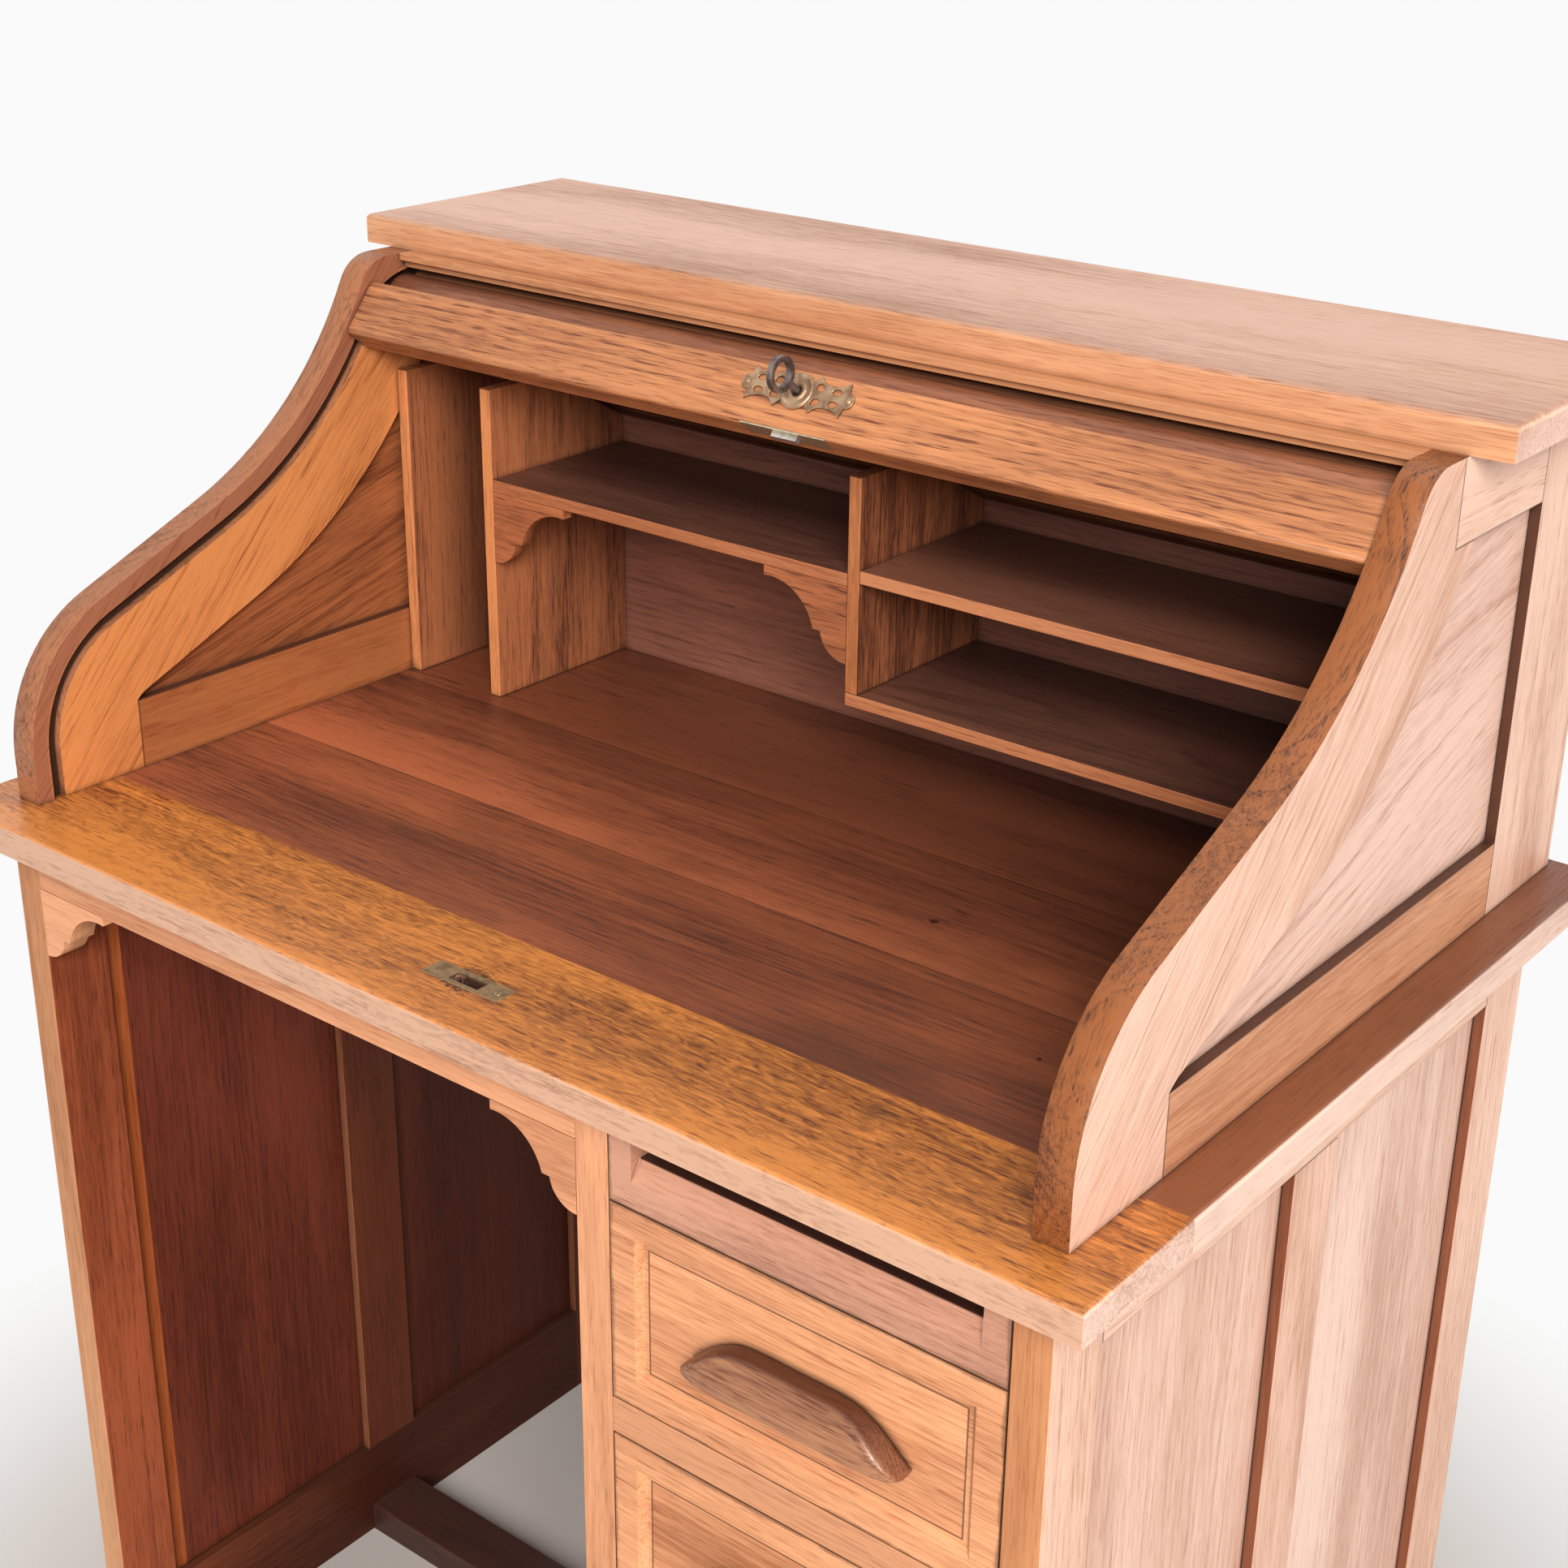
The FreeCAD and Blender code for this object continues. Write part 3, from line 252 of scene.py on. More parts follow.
def ahead_of(tree, place, box, course):
    """A mask of what lies in front of a line, traced in shares of a box's height and depth."""
    part = put(tree, "ShaderNodeSeparateXYZ", {0: place}).outputs
    share = {}
    for axis, low, high in zip("YZ", tuple(box[0])[1:], tuple(box[1])[1:]):
        share[axis] = sums(tree, "MULTIPLY_ADD", part[axis], 1.0 / (high - low), -low / (high - low))
    line = put(tree, "ShaderNodeFloatCurve", {"Value": share["Z"]})
    points = line.mapping.curves[0].points
    points[0].location, points[1].location = course[0], course[-1]
    for level, depth in course[1:-1]:
        points.new(level, depth)
    line.mapping.update()
    return ramp(tree, sums(tree, "SUBTRACT", share["Y"], line.outputs[0]), LINE_SOFT, -LINE_SOFT)


def oak(name, along, facing, pale, dark, box, seed, ring=0.005, bold=0.5, flake=0.0, edge_flake=0.0, joins=(),
        faces=(), lips=(), deep=(), rub=0.12, grime=0.0, stain=0.0, marks=(), gloss=0.0, sheen=WAXED, seam_share=0.75):
    """A waxed oak. joins are the members let in: (box, along, tone). faces tint what looks one way: (way, colour,
    share), with a box where only a part is tinted; many of these tints are painted sheen, others painted shade. lips
    darken
    what lies in front of a traced line: (way, tint, course). Painted shade darkens along an axis towards near black:
    (axis, start, end, share). marks are single dark spots: (centre, radius)."""
    material = bpy.data.materials.new(name)
    material.use_nodes = True
    tree = material.node_tree
    tree.nodes.clear()
    spot = put(tree, "ShaderNodeTexCoord").outputs
    place = spot["Object"]
    own = turned(tree, place, along, facing, seed, box)
    seam, shade = None, 1.0
    for number, (member_box, direction, tone) in enumerate(joins, 1):
        member_in = within(tree, place, member_box)
        inside = member_in["Inside"]
        kept_low = [max(pair) for pair in zip(member_box[0], box[0])]
        kept_high = [min(pair) for pair in zip(member_box[1], box[1])]
        member = turned(tree, place, direction, facing, seed + number * NEXT_BOARD, (kept_low, kept_high))
        own = put(tree, "ShaderNodeMix", {0: inside, 4: own, 5: member}, data_type="VECTOR").outputs[1]
        shade = put(tree, "ShaderNodeMix", {0: inside, 2: shade, 3: tone}).outputs[0]
        under = 0.0 if seam is None else sums(tree, "MULTIPLY", seam, sums(tree, "SUBTRACT", 1.0, inside))
        seam = sums(tree, "MAXIMUM", under, member_in["Seam"])
    if edge_flake:
        turned_away = sums(tree, "ABSOLUTE", vector_size(tree, "DOT_PRODUCT", spot["Normal"], pointing(facing)))
        flake = ramp(tree, turned_away, 0.9, 0.4, flake, edge_flake)
    wood = put(tree, "ShaderNodeGroup", {"Place": own, "Pale": solid(pale), "Dark": solid(dark), "Ring": ring,
                                         "Bold": bold, "Flake": flake}, node_tree=oak_figure).outputs
    colour, rough, relief = wood["Color"], wood["Roughness"], wood["Height"]
    if joins:
        colour = put(tree, "ShaderNodeVectorMath", {0: colour, "Scale": shade}, operation="SCALE").outputs[0]
    # Painted shade: the colour darkens along an axis towards near black, where shade falls.
    for axis, start, end, share in deep:
        inward = put(tree, "ShaderNodeSeparateXYZ", {0: place}).outputs[axis]
        colour = blend(tree, ramp(tree, inward, start, end, 0.0, share), colour, solid(NEAR_BLACK))
    # Face tints, among them painted sheen on faces turned to the light and painted shade in recesses, grooves and the
    # kneehole.
    for way, tint, cover, *part_box in faces:
        mask = looking(tree, spot["Normal"], way, cover)
        if part_box:
            mask = sums(tree, "MULTIPLY", mask, within(tree, place, part_box[0])["Inside"])
        light = [value * lift for value, lift in zip(tint, FIGURE_LIGHT)]
        heavy = [value * drop for value, drop in zip(tint, FIGURE_HEAVY)]
        colour = blend(tree, mask, colour, blend(tree, wood["Figure"], solid(light), solid(heavy)))
    for way, tint, course in lips:
        mask = sums(tree, "MULTIPLY", ahead_of(tree, place, box, course), looking(tree, spot["Normal"], way))
        colour = blend(tree, mask, colour, solid(tint), "MULTIPLY")
    if stain:
        stained = put(tree, "ShaderNodeGroup", {"Place": place, "Amount": stain}, node_tree=old_stain).outputs[0]
        colour = blend(tree, stained, colour, solid(GRIME_AND_SHADE_BROWN))
    for centre, radius in marks:
        ragged = grain_noise(tree, place, MARK_WAVES)[0]
        gap = sums(tree, "MULTIPLY_ADD", ragged, radius, vector_size(tree, "DISTANCE", place, centre))
        colour = blend(tree, ramp(tree, gap, radius * 1.25, radius * 0.85, 0.0, 0.92), colour, solid(NEAR_BLACK))
    # Near its edges a board turns paler, partly rubbed wear and partly a painted highlight; with grime it turns darker
    # instead.
    if rub or grime:
        near_edge = put(tree, "ShaderNodeGroup", {"Place": place, "Low": box[0], "High": box[1],
                                             "Width": RUB_WIDTH if rub else GRIME_WIDTH}, node_tree=edge_rub).outputs[0]
        edge = blend(tree, 1.0, colour, solid(RUBBED_BARE_AND_HIGHLIGHT), "MULTIPLY") if rub else solid(GRIME_AND_SHADE_BROWN)
        colour = blend(tree, sums(tree, "MULTIPLY", near_edge, rub or grime), colour, edge)
    # Occlusion darkens corners, crevices and joints towards dark brown: painted shade, with some grime.
    corner = put(tree, "ShaderNodeAmbientOcclusion", {"Distance": CORNER_REACH}, samples=4).outputs["AO"]
    colour = blend(tree, ramp(tree, corner, 0.78, 0.25, 0.0, 0.85), colour, solid(GRIME_AND_SHADE_BROWN))
    # Fine dark lines where members meet; round a drawer's sunk field the line is painted shade.
    if joins:
        colour = blend(tree, sums(tree, "MULTIPLY", seam, seam_share), colour, solid(GRIME_AND_SHADE_BROWN))
        relief = sums(tree, "SUBTRACT", relief, seam)
    if gloss:
        rough = sums(tree, "SUBTRACT", rough, gloss)
    bump = put(tree, "ShaderNodeBump", {"Strength": 0.35, "Distance": PORE_DEPTH, "Height": relief}).outputs[0]
    skin = put(tree, "ShaderNodeBsdfPrincipled", {"Base Color": colour, "Roughness": rough, "Normal": bump})
    skin.inputs["Specular IOR Level"].default_value = sheen
    tree.links.new(skin.outputs[0], put(tree, "ShaderNodeOutputMaterial").inputs[0])
    return material


def dress(node, material, eased=0.0008):
    """Gives a solid its finish and takes the sharpness off its edges."""
    piece = frame["nodes"][node]
    piece.data.materials.clear()
    piece.data.materials.append(material)
    if eased:
        weld = piece.modifiers.new("joined", "WELD")
        weld.merge_threshold = 0.00001
        bevel = piece.modifiers.new("eased", "BEVEL")
        bevel.width = eased
        bevel.segments = 2
        bevel.limit_method = "ANGLE"
        bevel.angle_limit = math.radians(35)
        bevel.harden_normals = True


def board(node, wood, along, facing, pale, dark, seed, eased=0.0008, **finish):
    """Dresses a solid in an oak of its own."""
    dress(node, oak(wood, along, facing, pale, dark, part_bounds(node), seed, **finish), eased)


def between(x=(-1.0, 1.0), y=(-1.0, 1.0), z=(0.0, 2.0)):
    """A box that reaches past the desk on each axis that isn't given."""
    return tuple(zip(x, y, z))


DECK_PALE = (0.42, 0.121, 0.051)
DECK_DARK = (0.096, 0.025, 0.0138)
MARGIN_GOLD = (0.215, 0.071, 0.028)
# A pale rose on the end faces of the deck, strip and top: painted sheen.
PALE_ROSE_SHEEN = (0.91, 0.605, 0.48)
FRONT_WAY = (0.0, -1.0, 0.0)
RIGHT_WAY = (1.0, 0.0, 0.0)
LEFT_WAY = (-1.0, 0.0, 0.0)
UP_WAY = (0.0, 0.0, 1.0)
PLANK_WIDTH = 0.131
PLANK_TONES = (1.4, 1.6, 1.25)
# Painted shade on the deck: darker towards the back and towards the right.
DECK_SHADE = (("Y", -0.14, 0.11, 0.74), ("X", -0.2, 0.36, 0.36))
DECK_SPOTS = (((0.164, -0.024, 0.775), 0.005), ((0.308, -0.124, 0.775), 0.0032))
side_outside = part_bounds("upper_side_right")[1][0]
right_margin = between(x=(side_outside, 1.0))
left_margin = between(x=(-1.0, -side_outside))
planks = []
for number, tone in enumerate(PLANK_TONES, 1):
    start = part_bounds("deck_board")[0][1] + number * PLANK_WIDTH
    planks.append((between(y=(start, start + PLANK_WIDTH)), "X", tone))
planks += [(right_margin, "Y", 1.0), (left_margin, "Y", 1.0)]
board("deck_board", "deck_oak", "X", "Z", DECK_PALE, DECK_DARK, seed=0.4, bold=0.45, joins=planks,
      faces=((UP_WAY, MARGIN_GOLD, 0.8, right_margin), (UP_WAY, MARGIN_GOLD, 0.8, left_margin),
             (RIGHT_WAY, PALE_ROSE_SHEEN, 0.92), (LEFT_WAY, PALE_ROSE_SHEEN, 0.92)),
      deep=DECK_SHADE, rub=0.1, stain=0.85, marks=DECK_SPOTS, gloss=0.05, sheen=0.45, seam_share=0.4)

STRIP_PALE = (0.74, 0.262, 0.058)
STRIP_DARK = (0.13, 0.032, 0.009)
# Painted sheen on the strip's front edge.
EDGE_ROSE_SHEEN = (0.57, 0.335, 0.225)
# A dark spot painted into the strike plate's slot as shade.
STRIKE_SLOT_SHADE = (((0.0, -0.263, 0.7665), 0.027),)
board("deck_front_strip", "strip_oak", "X", "Z", STRIP_PALE, STRIP_DARK, seed=2.3, ring=0.004, bold=0.5, flake=0.62,
      faces=((FRONT_WAY, EDGE_ROSE_SHEEN, 0.9), (RIGHT_WAY, PALE_ROSE_SHEEN, 0.9), (LEFT_WAY, PALE_ROSE_SHEEN, 0.9)),
      rub=0.1, stain=0.4, marks=STRIKE_SLOT_SHADE, gloss=0.1, sheen=0.5)


# Strike plate: thin brass let flush into the strip, slotted for the lock's bolt and held by two screws.
# Dull and brown with age, brighter where it is rubbed.

PATCH_WAVES = (95.0, 95.0, 95.0)
SCRATCH_WAVES = (120.0, 1400.0, 1400.0)
METAL_RUB_WIDTH = 0.0015
SCRATCH_DEPTH = 0.0001


def old_metal(name, clean, tarnish, box, seed, metal_rough=0.34):
    """Rolled metal, clean where rubbed and tarnished in patches."""
    material = bpy.data.materials.new(name)
    material.use_nodes = True
    tree = material.node_tree
    tree.nodes.clear()
    place = put(tree, "ShaderNodeTexCoord").outputs["Object"]
    moved = put(tree, "ShaderNodeMapping", {"Vector": place, "Location": (seed, seed, seed)}).outputs[0]
    patches = grain_noise(tree, moved, PATCH_WAVES, 5.0, 0.65)[0]
    scratch = grain_noise(tree, moved, SCRATCH_WAVES, 2.0)[0]
    near_edge = put(tree, "ShaderNodeGroup", {"Place": place, "Low": box[0], "High": box[1], "Width": METAL_RUB_WIDTH},
               node_tree=edge_rub).outputs[0]
    share = ramp(tree, patches, 0.36, 0.66)
    share = sums(tree, "SUBTRACT", share, sums(tree, "MULTIPLY", near_edge, 0.6), clamp=True)
    colour = blend(tree, share, solid(clean), solid(tarnish))
    rough = sums(tree, "ADD", metal_rough, sums(tree, "MULTIPLY", share, 0.22))
    rough = sums(tree, "ADD", rough, sums(tree, "MULTIPLY", scratch, 0.08))
    relief = sums(tree, "ADD", sums(tree, "MULTIPLY", patches, 0.2), sums(tree, "MULTIPLY", scratch, 0.4))
    bump = put(tree, "ShaderNodeBump", {"Strength": 0.12, "Distance": SCRATCH_DEPTH, "Height": relief}).outputs[0]
    skin = put(tree, "ShaderNodeBsdfPrincipled", {"Base Color": colour, "Roughness": rough, "Normal": bump})
    skin.inputs["Metallic"].default_value = 0.85
    tree.links.new(skin.outputs[0], put(tree, "ShaderNodeOutputMaterial").inputs[0])
    return material


STRIKE_BRASS, STRIKE_BROWN = (0.46, 0.32, 0.17), (0.20, 0.13, 0.07)
SCREW_BRASS, SCREW_BROWN = (0.55, 0.42, 0.26), (0.22, 0.15, 0.09)
SCREW_HEAD = 0.0024
SCREW_RISE = 0.00025
SCREW_SLOT = 0.0004
SCREW_INSET = 0.0065
SCREW_TURNS = (0.5, 1.9)
SCREW_STEPS = 14
CROWN_ACROSS, CROWN_ALONG = 0.9, 0.95
plate_low, plate_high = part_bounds("strike_plate")
dress("strike_plate", old_metal("strike_brass", STRIKE_BRASS, STRIKE_BROWN, (plate_low, plate_high), seed=0.3), 0.0002)
plate_middle = (plate_low[1] + plate_high[1]) / 2
slot_corner = math.asin(SCREW_SLOT / SCREW_HEAD)
heads = bmesh.new()
for screw, turn in zip((plate_low[0] + SCREW_INSET, plate_high[0] - SCREW_INSET), SCREW_TURNS):
    spin = Matrix.Translation((screw, plate_middle, plate_high[2])) @ Matrix.Rotation(turn, 4, "Z")
    for half in (1.0, -1.0):
        rim = []
        for step in range(SCREW_STEPS + 1):
            way = slot_corner + (math.pi - 2.0 * slot_corner) * step / SCREW_STEPS
            rim.append((SCREW_HEAD * math.cos(way), half * SCREW_HEAD * math.sin(way)))
        foot = [heads.verts.new(spin @ Vector((across, along, -SCREW_RISE))) for across, along in rim]
        crown = [heads.verts.new(spin @ Vector((across * CROWN_ACROSS, along * CROWN_ALONG, SCREW_RISE)))
                 for across, along in rim]
        heads.faces.new(foot)
        heads.faces.new(crown)
        for step in range(len(rim)):
            after = (step + 1) % len(rim)
            heads.faces.new((foot[step], foot[after], crown[after], crown[step]))
bmesh.ops.recalc_face_normals(heads, faces=heads.faces)
screw_mesh = bpy.data.meshes.new("strike_screws")
heads.to_mesh(screw_mesh)
heads.free()
screw_mesh.materials.append(old_metal("screw_brass", SCREW_BRASS, SCREW_BROWN, (plate_low, plate_high), seed=0.9))
strike_screws = bpy.data.objects.new("strike_screws", screw_mesh)
bpy.context.scene.collection.objects.link(strike_screws)
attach(strike_screws, "case")


# Lower ends: oak frames grooved round two loose upright panels each. Stiles and muntin run up and
# down, rails run to the back between them. The faces outside carry a painted pale sheen, and the kneehole is
# painted dark as shade, darkest towards the back.

CASE_PALE, CASE_DARK = (0.80, 0.375, 0.190), (0.50, 0.200, 0.090)
# Kneehole oak, frame and panels: darker copies of the case's oak, painted shade.
KNEE_PALE, KNEE_DARK = (0.42, 0.105, 0.042), (0.16, 0.034, 0.014)
KNEE_PANEL_PALE, KNEE_PANEL_DARK = (0.20, 0.044, 0.022), (0.08, 0.016, 0.009)
# Pale rose on the faces that look outward, on the ends and the upper sides: painted sheen.
FRAME_ROSE_SHEEN = (0.91, 0.575, 0.43)
PANEL_ROSE_SHEEN = (0.87, 0.565, 0.45)
PANEL_PALE_SHEEN = (0.89, 0.60, 0.485)
WORN_EDGE = (0.53, 0.215, 0.085)
# The front edge of the left end is painted peach as lit.
PEACH_LIT_EDGE = (0.62, 0.31, 0.155)
# Brown on the walls of the recesses round the panels: painted shade.
RECESS_SHADE_BROWN = (0.17, 0.050, 0.025)
SAPWOOD = (0.42, 0.105, 0.028)
# Painted shade in the kneehole, darker towards the back.
KNEE_SHADE = (("Y", -0.16, 0.12, 0.72),)
KNEE_FRAME_SHADE = (("Y", -0.27, 0.02, 0.78),)
DULL = 0.12
BACK_WAY = (0.0, 1.0, 0.0)
FRONT_STILE = 0.048
BACK_STILE = 0.055
TOP_RAIL = 0.054
BOTTOM_RAIL = 0.085
SAPWOOD_WIDTH = 0.016
PAST = 0.01
for side, outward, oaks, panel_oaks, frame_shade, panel_shade, front_edge, foot_tone, sheen, seed in (
        ("left", LEFT_WAY, (KNEE_PALE, KNEE_DARK), (KNEE_PANEL_PALE, KNEE_PANEL_DARK),
         KNEE_FRAME_SHADE, KNEE_SHADE, PEACH_LIT_EDGE, 0.45, DULL, 3.1),
        ("right", RIGHT_WAY, (CASE_PALE, CASE_DARK), (CASE_PALE, CASE_DARK),
         (), (), WORN_EDGE, 0.95, WAXED, 4.7)):
    low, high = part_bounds("end_frame_" + side)
    stile_end = low[1] + FRONT_STILE
    rail_run = (stile_end, high[1] - BACK_STILE)
    # The left end's bottom rail, low in the kneehole, is painted darker as shade.
    rails = ((between(y=rail_run, z=(low[2] - PAST, low[2] + BOTTOM_RAIL)), "Y", foot_tone),
             (between(y=rail_run, z=(high[2] - TOP_RAIL, high[2] + PAST)), "Y", 0.9))
    recess = between(y=(stile_end + PAST, 1.0))
    board("end_frame_" + side, "end_frame_oak_" + side, "Z", "X", *oaks, seed=seed, joins=rails,
          faces=((outward, FRAME_ROSE_SHEEN, 0.92), (FRONT_WAY, front_edge, 0.85), (BACK_WAY, WORN_EDGE, 0.85),
                 (FRONT_WAY, RECESS_SHADE_BROWN, 0.9, recess)),
          deep=frame_shade, stain=0.15, sheen=sheen)
    if side == "left":
        accent = (RIGHT_WAY, SAPWOOD, 0.9, between(y=(-1.0, stile_end + SAPWOOD_WIDTH)))
    else:
        accent = (outward, PANEL_PALE_SHEEN, 0.92, between(y=(0.0, 1.0)))
    board("end_panels_" + side, "end_panel_oak_" + side, "Z", "X", *panel_oaks, seed=seed + 0.6, bold=0.45,
          faces=((outward, PANEL_ROSE_SHEEN, 0.92), accent), deep=panel_shade, sheen=sheen)


# Pedestal: an inner side, a thin back, rails between the fronts and strips for the drawers to run on.
# The front edges are finished as the rest of the front, the inside is left plain; the face to the kneehole is
# painted dark brown as shade.

CARCASE_PALE, CARCASE_DARK = (0.40, 0.165, 0.080), (0.20, 0.070, 0.034)
DRAWER_RAIL_PALE, DRAWER_RAIL_DARK = (0.68, 0.31, 0.155), (0.40, 0.155, 0.072)
# The pedestal's face to the kneehole: painted shade.
KNEE_SHADE_BROWN = (0.20, 0.045, 0.020)
board("pedestal_side", "pedestal_side_oak", "Z", "X", CASE_PALE, CASE_DARK, seed=5.2,
      faces=((LEFT_WAY, KNEE_SHADE_BROWN, 0.9),))
board("pedestal_back", "pedestal_back_oak", "Z", "Y", CARCASE_PALE, CARCASE_DARK, seed=5.9)
board("drawer_rails", "drawer_rail_oak", "X", "Z", DRAWER_RAIL_PALE, DRAWER_RAIL_DARK, seed=6.4, ring=0.004, rub=0.0)
board("drawer_runners", "runner_oak", "Y", "Z", CARCASE_PALE, CARCASE_DARK, seed=7.0, eased=0.0)


# Kneehole: an apron under the deck with a shaped bracket at each end, a rail at the back, and a
# stretcher near the floor on which the feet rest. All are oak, tenoned or glued to the ends. The rail at the back
# and the stretcher are painted dark as shade.

# Stretcher oak, near black: painted shade low in the kneehole.
STRETCHER_PALE, STRETCHER_DARK = (0.058, 0.022, 0.015), (0.025, 0.009, 0.007)
board("apron_rail", "apron_oak", "X", "Y", CASE_PALE, CASE_DARK, seed=7.7, ring=0.004)
board("kneehole_brackets", "knee_bracket_oak", "X", "Y", CASE_PALE, CASE_DARK, seed=8.2, rub=0.0)
board("back_rail", "back_rail_oak", "X", "Y", KNEE_PALE, KNEE_DARK, seed=8.8)
board("foot_stretcher", "stretcher_oak", "X", "Z", STRETCHER_PALE, STRETCHER_DARK, seed=9.3, rub=0.5)


# Drawers: oak fronts with a sunk field, plain sides, backs and bottoms. Each has a pull carved from one
# piece of oak as a hood and glued on, dark on top, partly from handling and partly as painted shade, and pale on
# its sloping front. A fine dark line round each sunk field is painted shade at its step.

FRONT_PALE, FRONT_DARK = (0.84, 0.390, 0.190), (0.38, 0.135, 0.056)
PULL_PALE, PULL_DARK = (0.53, 0.240, 0.116), (0.14, 0.042, 0.018)
# Dark on the tops of the pulls: handling grime and painted shade.
HANDLED_AND_SHADED = (0.085, 0.024, 0.012)
PULL_END = (0.26, 0.095, 0.046)
FIELD_MARGIN = 0.0255
PULL_STATIONS = 19
HOOD_FLAT = 0.46
HOOD_BASE, HOOD_FOOT, HOOD_ARCH, HOOD_FALL = 0.08, 0.04, 0.80, 1.7
HOOD_THIN, HOOD_SWELL, HOOD_BLUNT = 0.36, 0.46, 8
HOOD_LIP = 0.008
HOOD_BROW = 0.41
HOOD_ROLL = 0.006
HOOD_SHELL = 0.010
HOLLOW_END, HOLLOW_LEAST = 0.82, 0.0005


def carved_hood(name, low, high):
    """A closed loft of hood sections along the pull, low and shallow at its ends and hollow below for the fingers."""
    half = (high[0] - low[0]) / 2
    centre = (low[0] + high[0]) / 2
    tall = high[2] - low[2]
    proud = high[1] - low[1]
    hood = bmesh.new()
    rings = []
    for step in range(PULL_STATIONS + 1):
        along = math.sin((step / PULL_STATIONS - 0.5) * math.pi)
        bend = max(0.0, (abs(along) - HOOD_FLAT) / (1.0 - HOOD_FLAT))
        rise = tall * (HOOD_FOOT + HOOD_ARCH * (1.0 - bend ** HOOD_FALL))
        reach = proud * (HOOD_THIN + HOOD_SWELL * math.sqrt(max(0.0, 1.0 - abs(along) ** HOOD_BLUNT)))
        lip = min(HOOD_LIP, rise * 0.5)
        lean = max(0.0, reach - HOOD_BROW * proud) / (tall - HOOD_LIP)
        brow = reach - lean * (rise - lip)
        roll = min(HOOD_ROLL, (rise - lip) * 0.7)
        hollow = max(HOLLOW_LEAST, rise - HOOD_SHELL) if abs(along) < HOLLOW_END else HOLLOW_LEAST
        slope = reach - lean * (rise - roll - lip) * 0.5
        # From the drawer's face over the rolled brow and down the front, then back through the hollow
        section = [(0.0, rise), (brow * 0.6, rise), (brow - 0.0006, rise - roll * 0.1),
                   (brow + roll * 0.35, rise - roll * 0.45), (brow + roll * 0.55, rise - roll * 0.8),
                   (brow + roll * 0.5, rise - roll), (slope - 0.0004, (rise - roll + lip) / 2),
                   (reach - 0.0003, lip), (reach, lip * 0.6), (reach - 0.0004, lip * 0.15), (reach - 0.001, 0.0),
                   (reach * 0.8, 0.0), (reach * 0.75, min(hollow, lip * 0.6)),
                   (min(brow, reach * 0.7) * 0.8, hollow * 0.85), (brow * 0.4, hollow), (0.0, hollow)]
        rings.append([hood.verts.new((centre + along * half, high[1] - out, low[2] + HOOD_BASE * tall + up))
                      for out, up in section])
    for first, second in zip(rings, rings[1:]):
        for index in range(len(first)):
            after = (index + 1) % len(first)
            hood.faces.new((first[index], second[index], second[after], first[after]))
    hood.faces.new(rings[0])
    hood.faces.new(rings[-1][::-1])
    bmesh.ops.recalc_face_normals(hood, faces=hood.faces)
    mesh = bpy.data.meshes.new(name)
    hood.to_mesh(mesh)
    hood.free()
    for face in mesh.polygons:
        face.use_smooth = True
    piece = bpy.data.objects.new(name, mesh)
    bpy.context.scene.collection.objects.link(piece)
    rounded = piece.modifiers.new("rounded", "SUBSURF")
    rounded.levels = 2
    rounded.render_levels = 2
    return piece


for number in range(1, 5):
    drawer, pull = "drawer_%d" % number, "drawer_pull_%d" % number
    low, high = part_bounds(drawer)
    # The sunk field is given as a join, whose fine dark line round it is painted shade at the step.
    field = between(x=(low[0] + FIELD_MARGIN, high[0] - FIELD_MARGIN), y=(low[1] - PAST, low[1] + PAST),
                    z=(low[2] + FIELD_MARGIN, high[2] - FIELD_MARGIN))
    board(drawer, drawer + "_oak", "X", "Y", FRONT_PALE, FRONT_DARK, seed=10.0 + number * 0.77, ring=0.004, bold=0.45,
          joins=((field, "X", 1.06),), rub=0.0, grime=0.55)
    low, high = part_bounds(pull)
    hood = carved_hood("carved_pull_%d" % number, low, high)
    hood.data.materials.append(oak(
        "carved_pull_oak_%d" % number, "X", "Y", PULL_PALE, PULL_DARK, (low, high), seed=14.0 + number * 0.61,
        ring=0.003, bold=0.6, rub=0.0, gloss=0.12, sheen=0.5,
        faces=((RIGHT_WAY, PULL_END, 0.8), (LEFT_WAY, PULL_END, 0.8), (UP_WAY, HANDLED_AND_SHADED, 0.9))))
    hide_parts(pull)
    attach(hood, drawer)


# Writing slide: an oak board that draws out above the drawers. Its front is scooped along the top edge
# for the fingers and glued on. Its faces that look up and the board's front edge are painted near black as shade,
# so the space behind the scoop shows as a dark slot.

SLIDE_PALE, SLIDE_DARK = (0.61, 0.308, 0.203), (0.33, 0.143, 0.088)
board("slide_front", "slide_front_oak", "X", "Y", SLIDE_PALE, SLIDE_DARK, seed=17.1, ring=0.004, bold=0.4, flake=0.25,
      faces=((UP_WAY, NEAR_BLACK, 0.95),), rub=0.0, grime=0.5)
board("slide_board", "slide_board_oak", "X", "Z", CARCASE_PALE, CARCASE_DARK, seed=17.9,
      faces=((FRONT_WAY, NEAR_BLACK, 0.95),))


# Upper sides: S-shaped oak frames round a loose panel, grooved inside for the curtain. The curved stile
# is sawn from a wide board, so its edge shows bands of flake; the rails run to the back. In front of
# the groove the stile is handled brown, behind it stays golden. The outer faces carry a painted pale sheen, and
# the groove's floor and the walls round the panel are painted dark as shade.

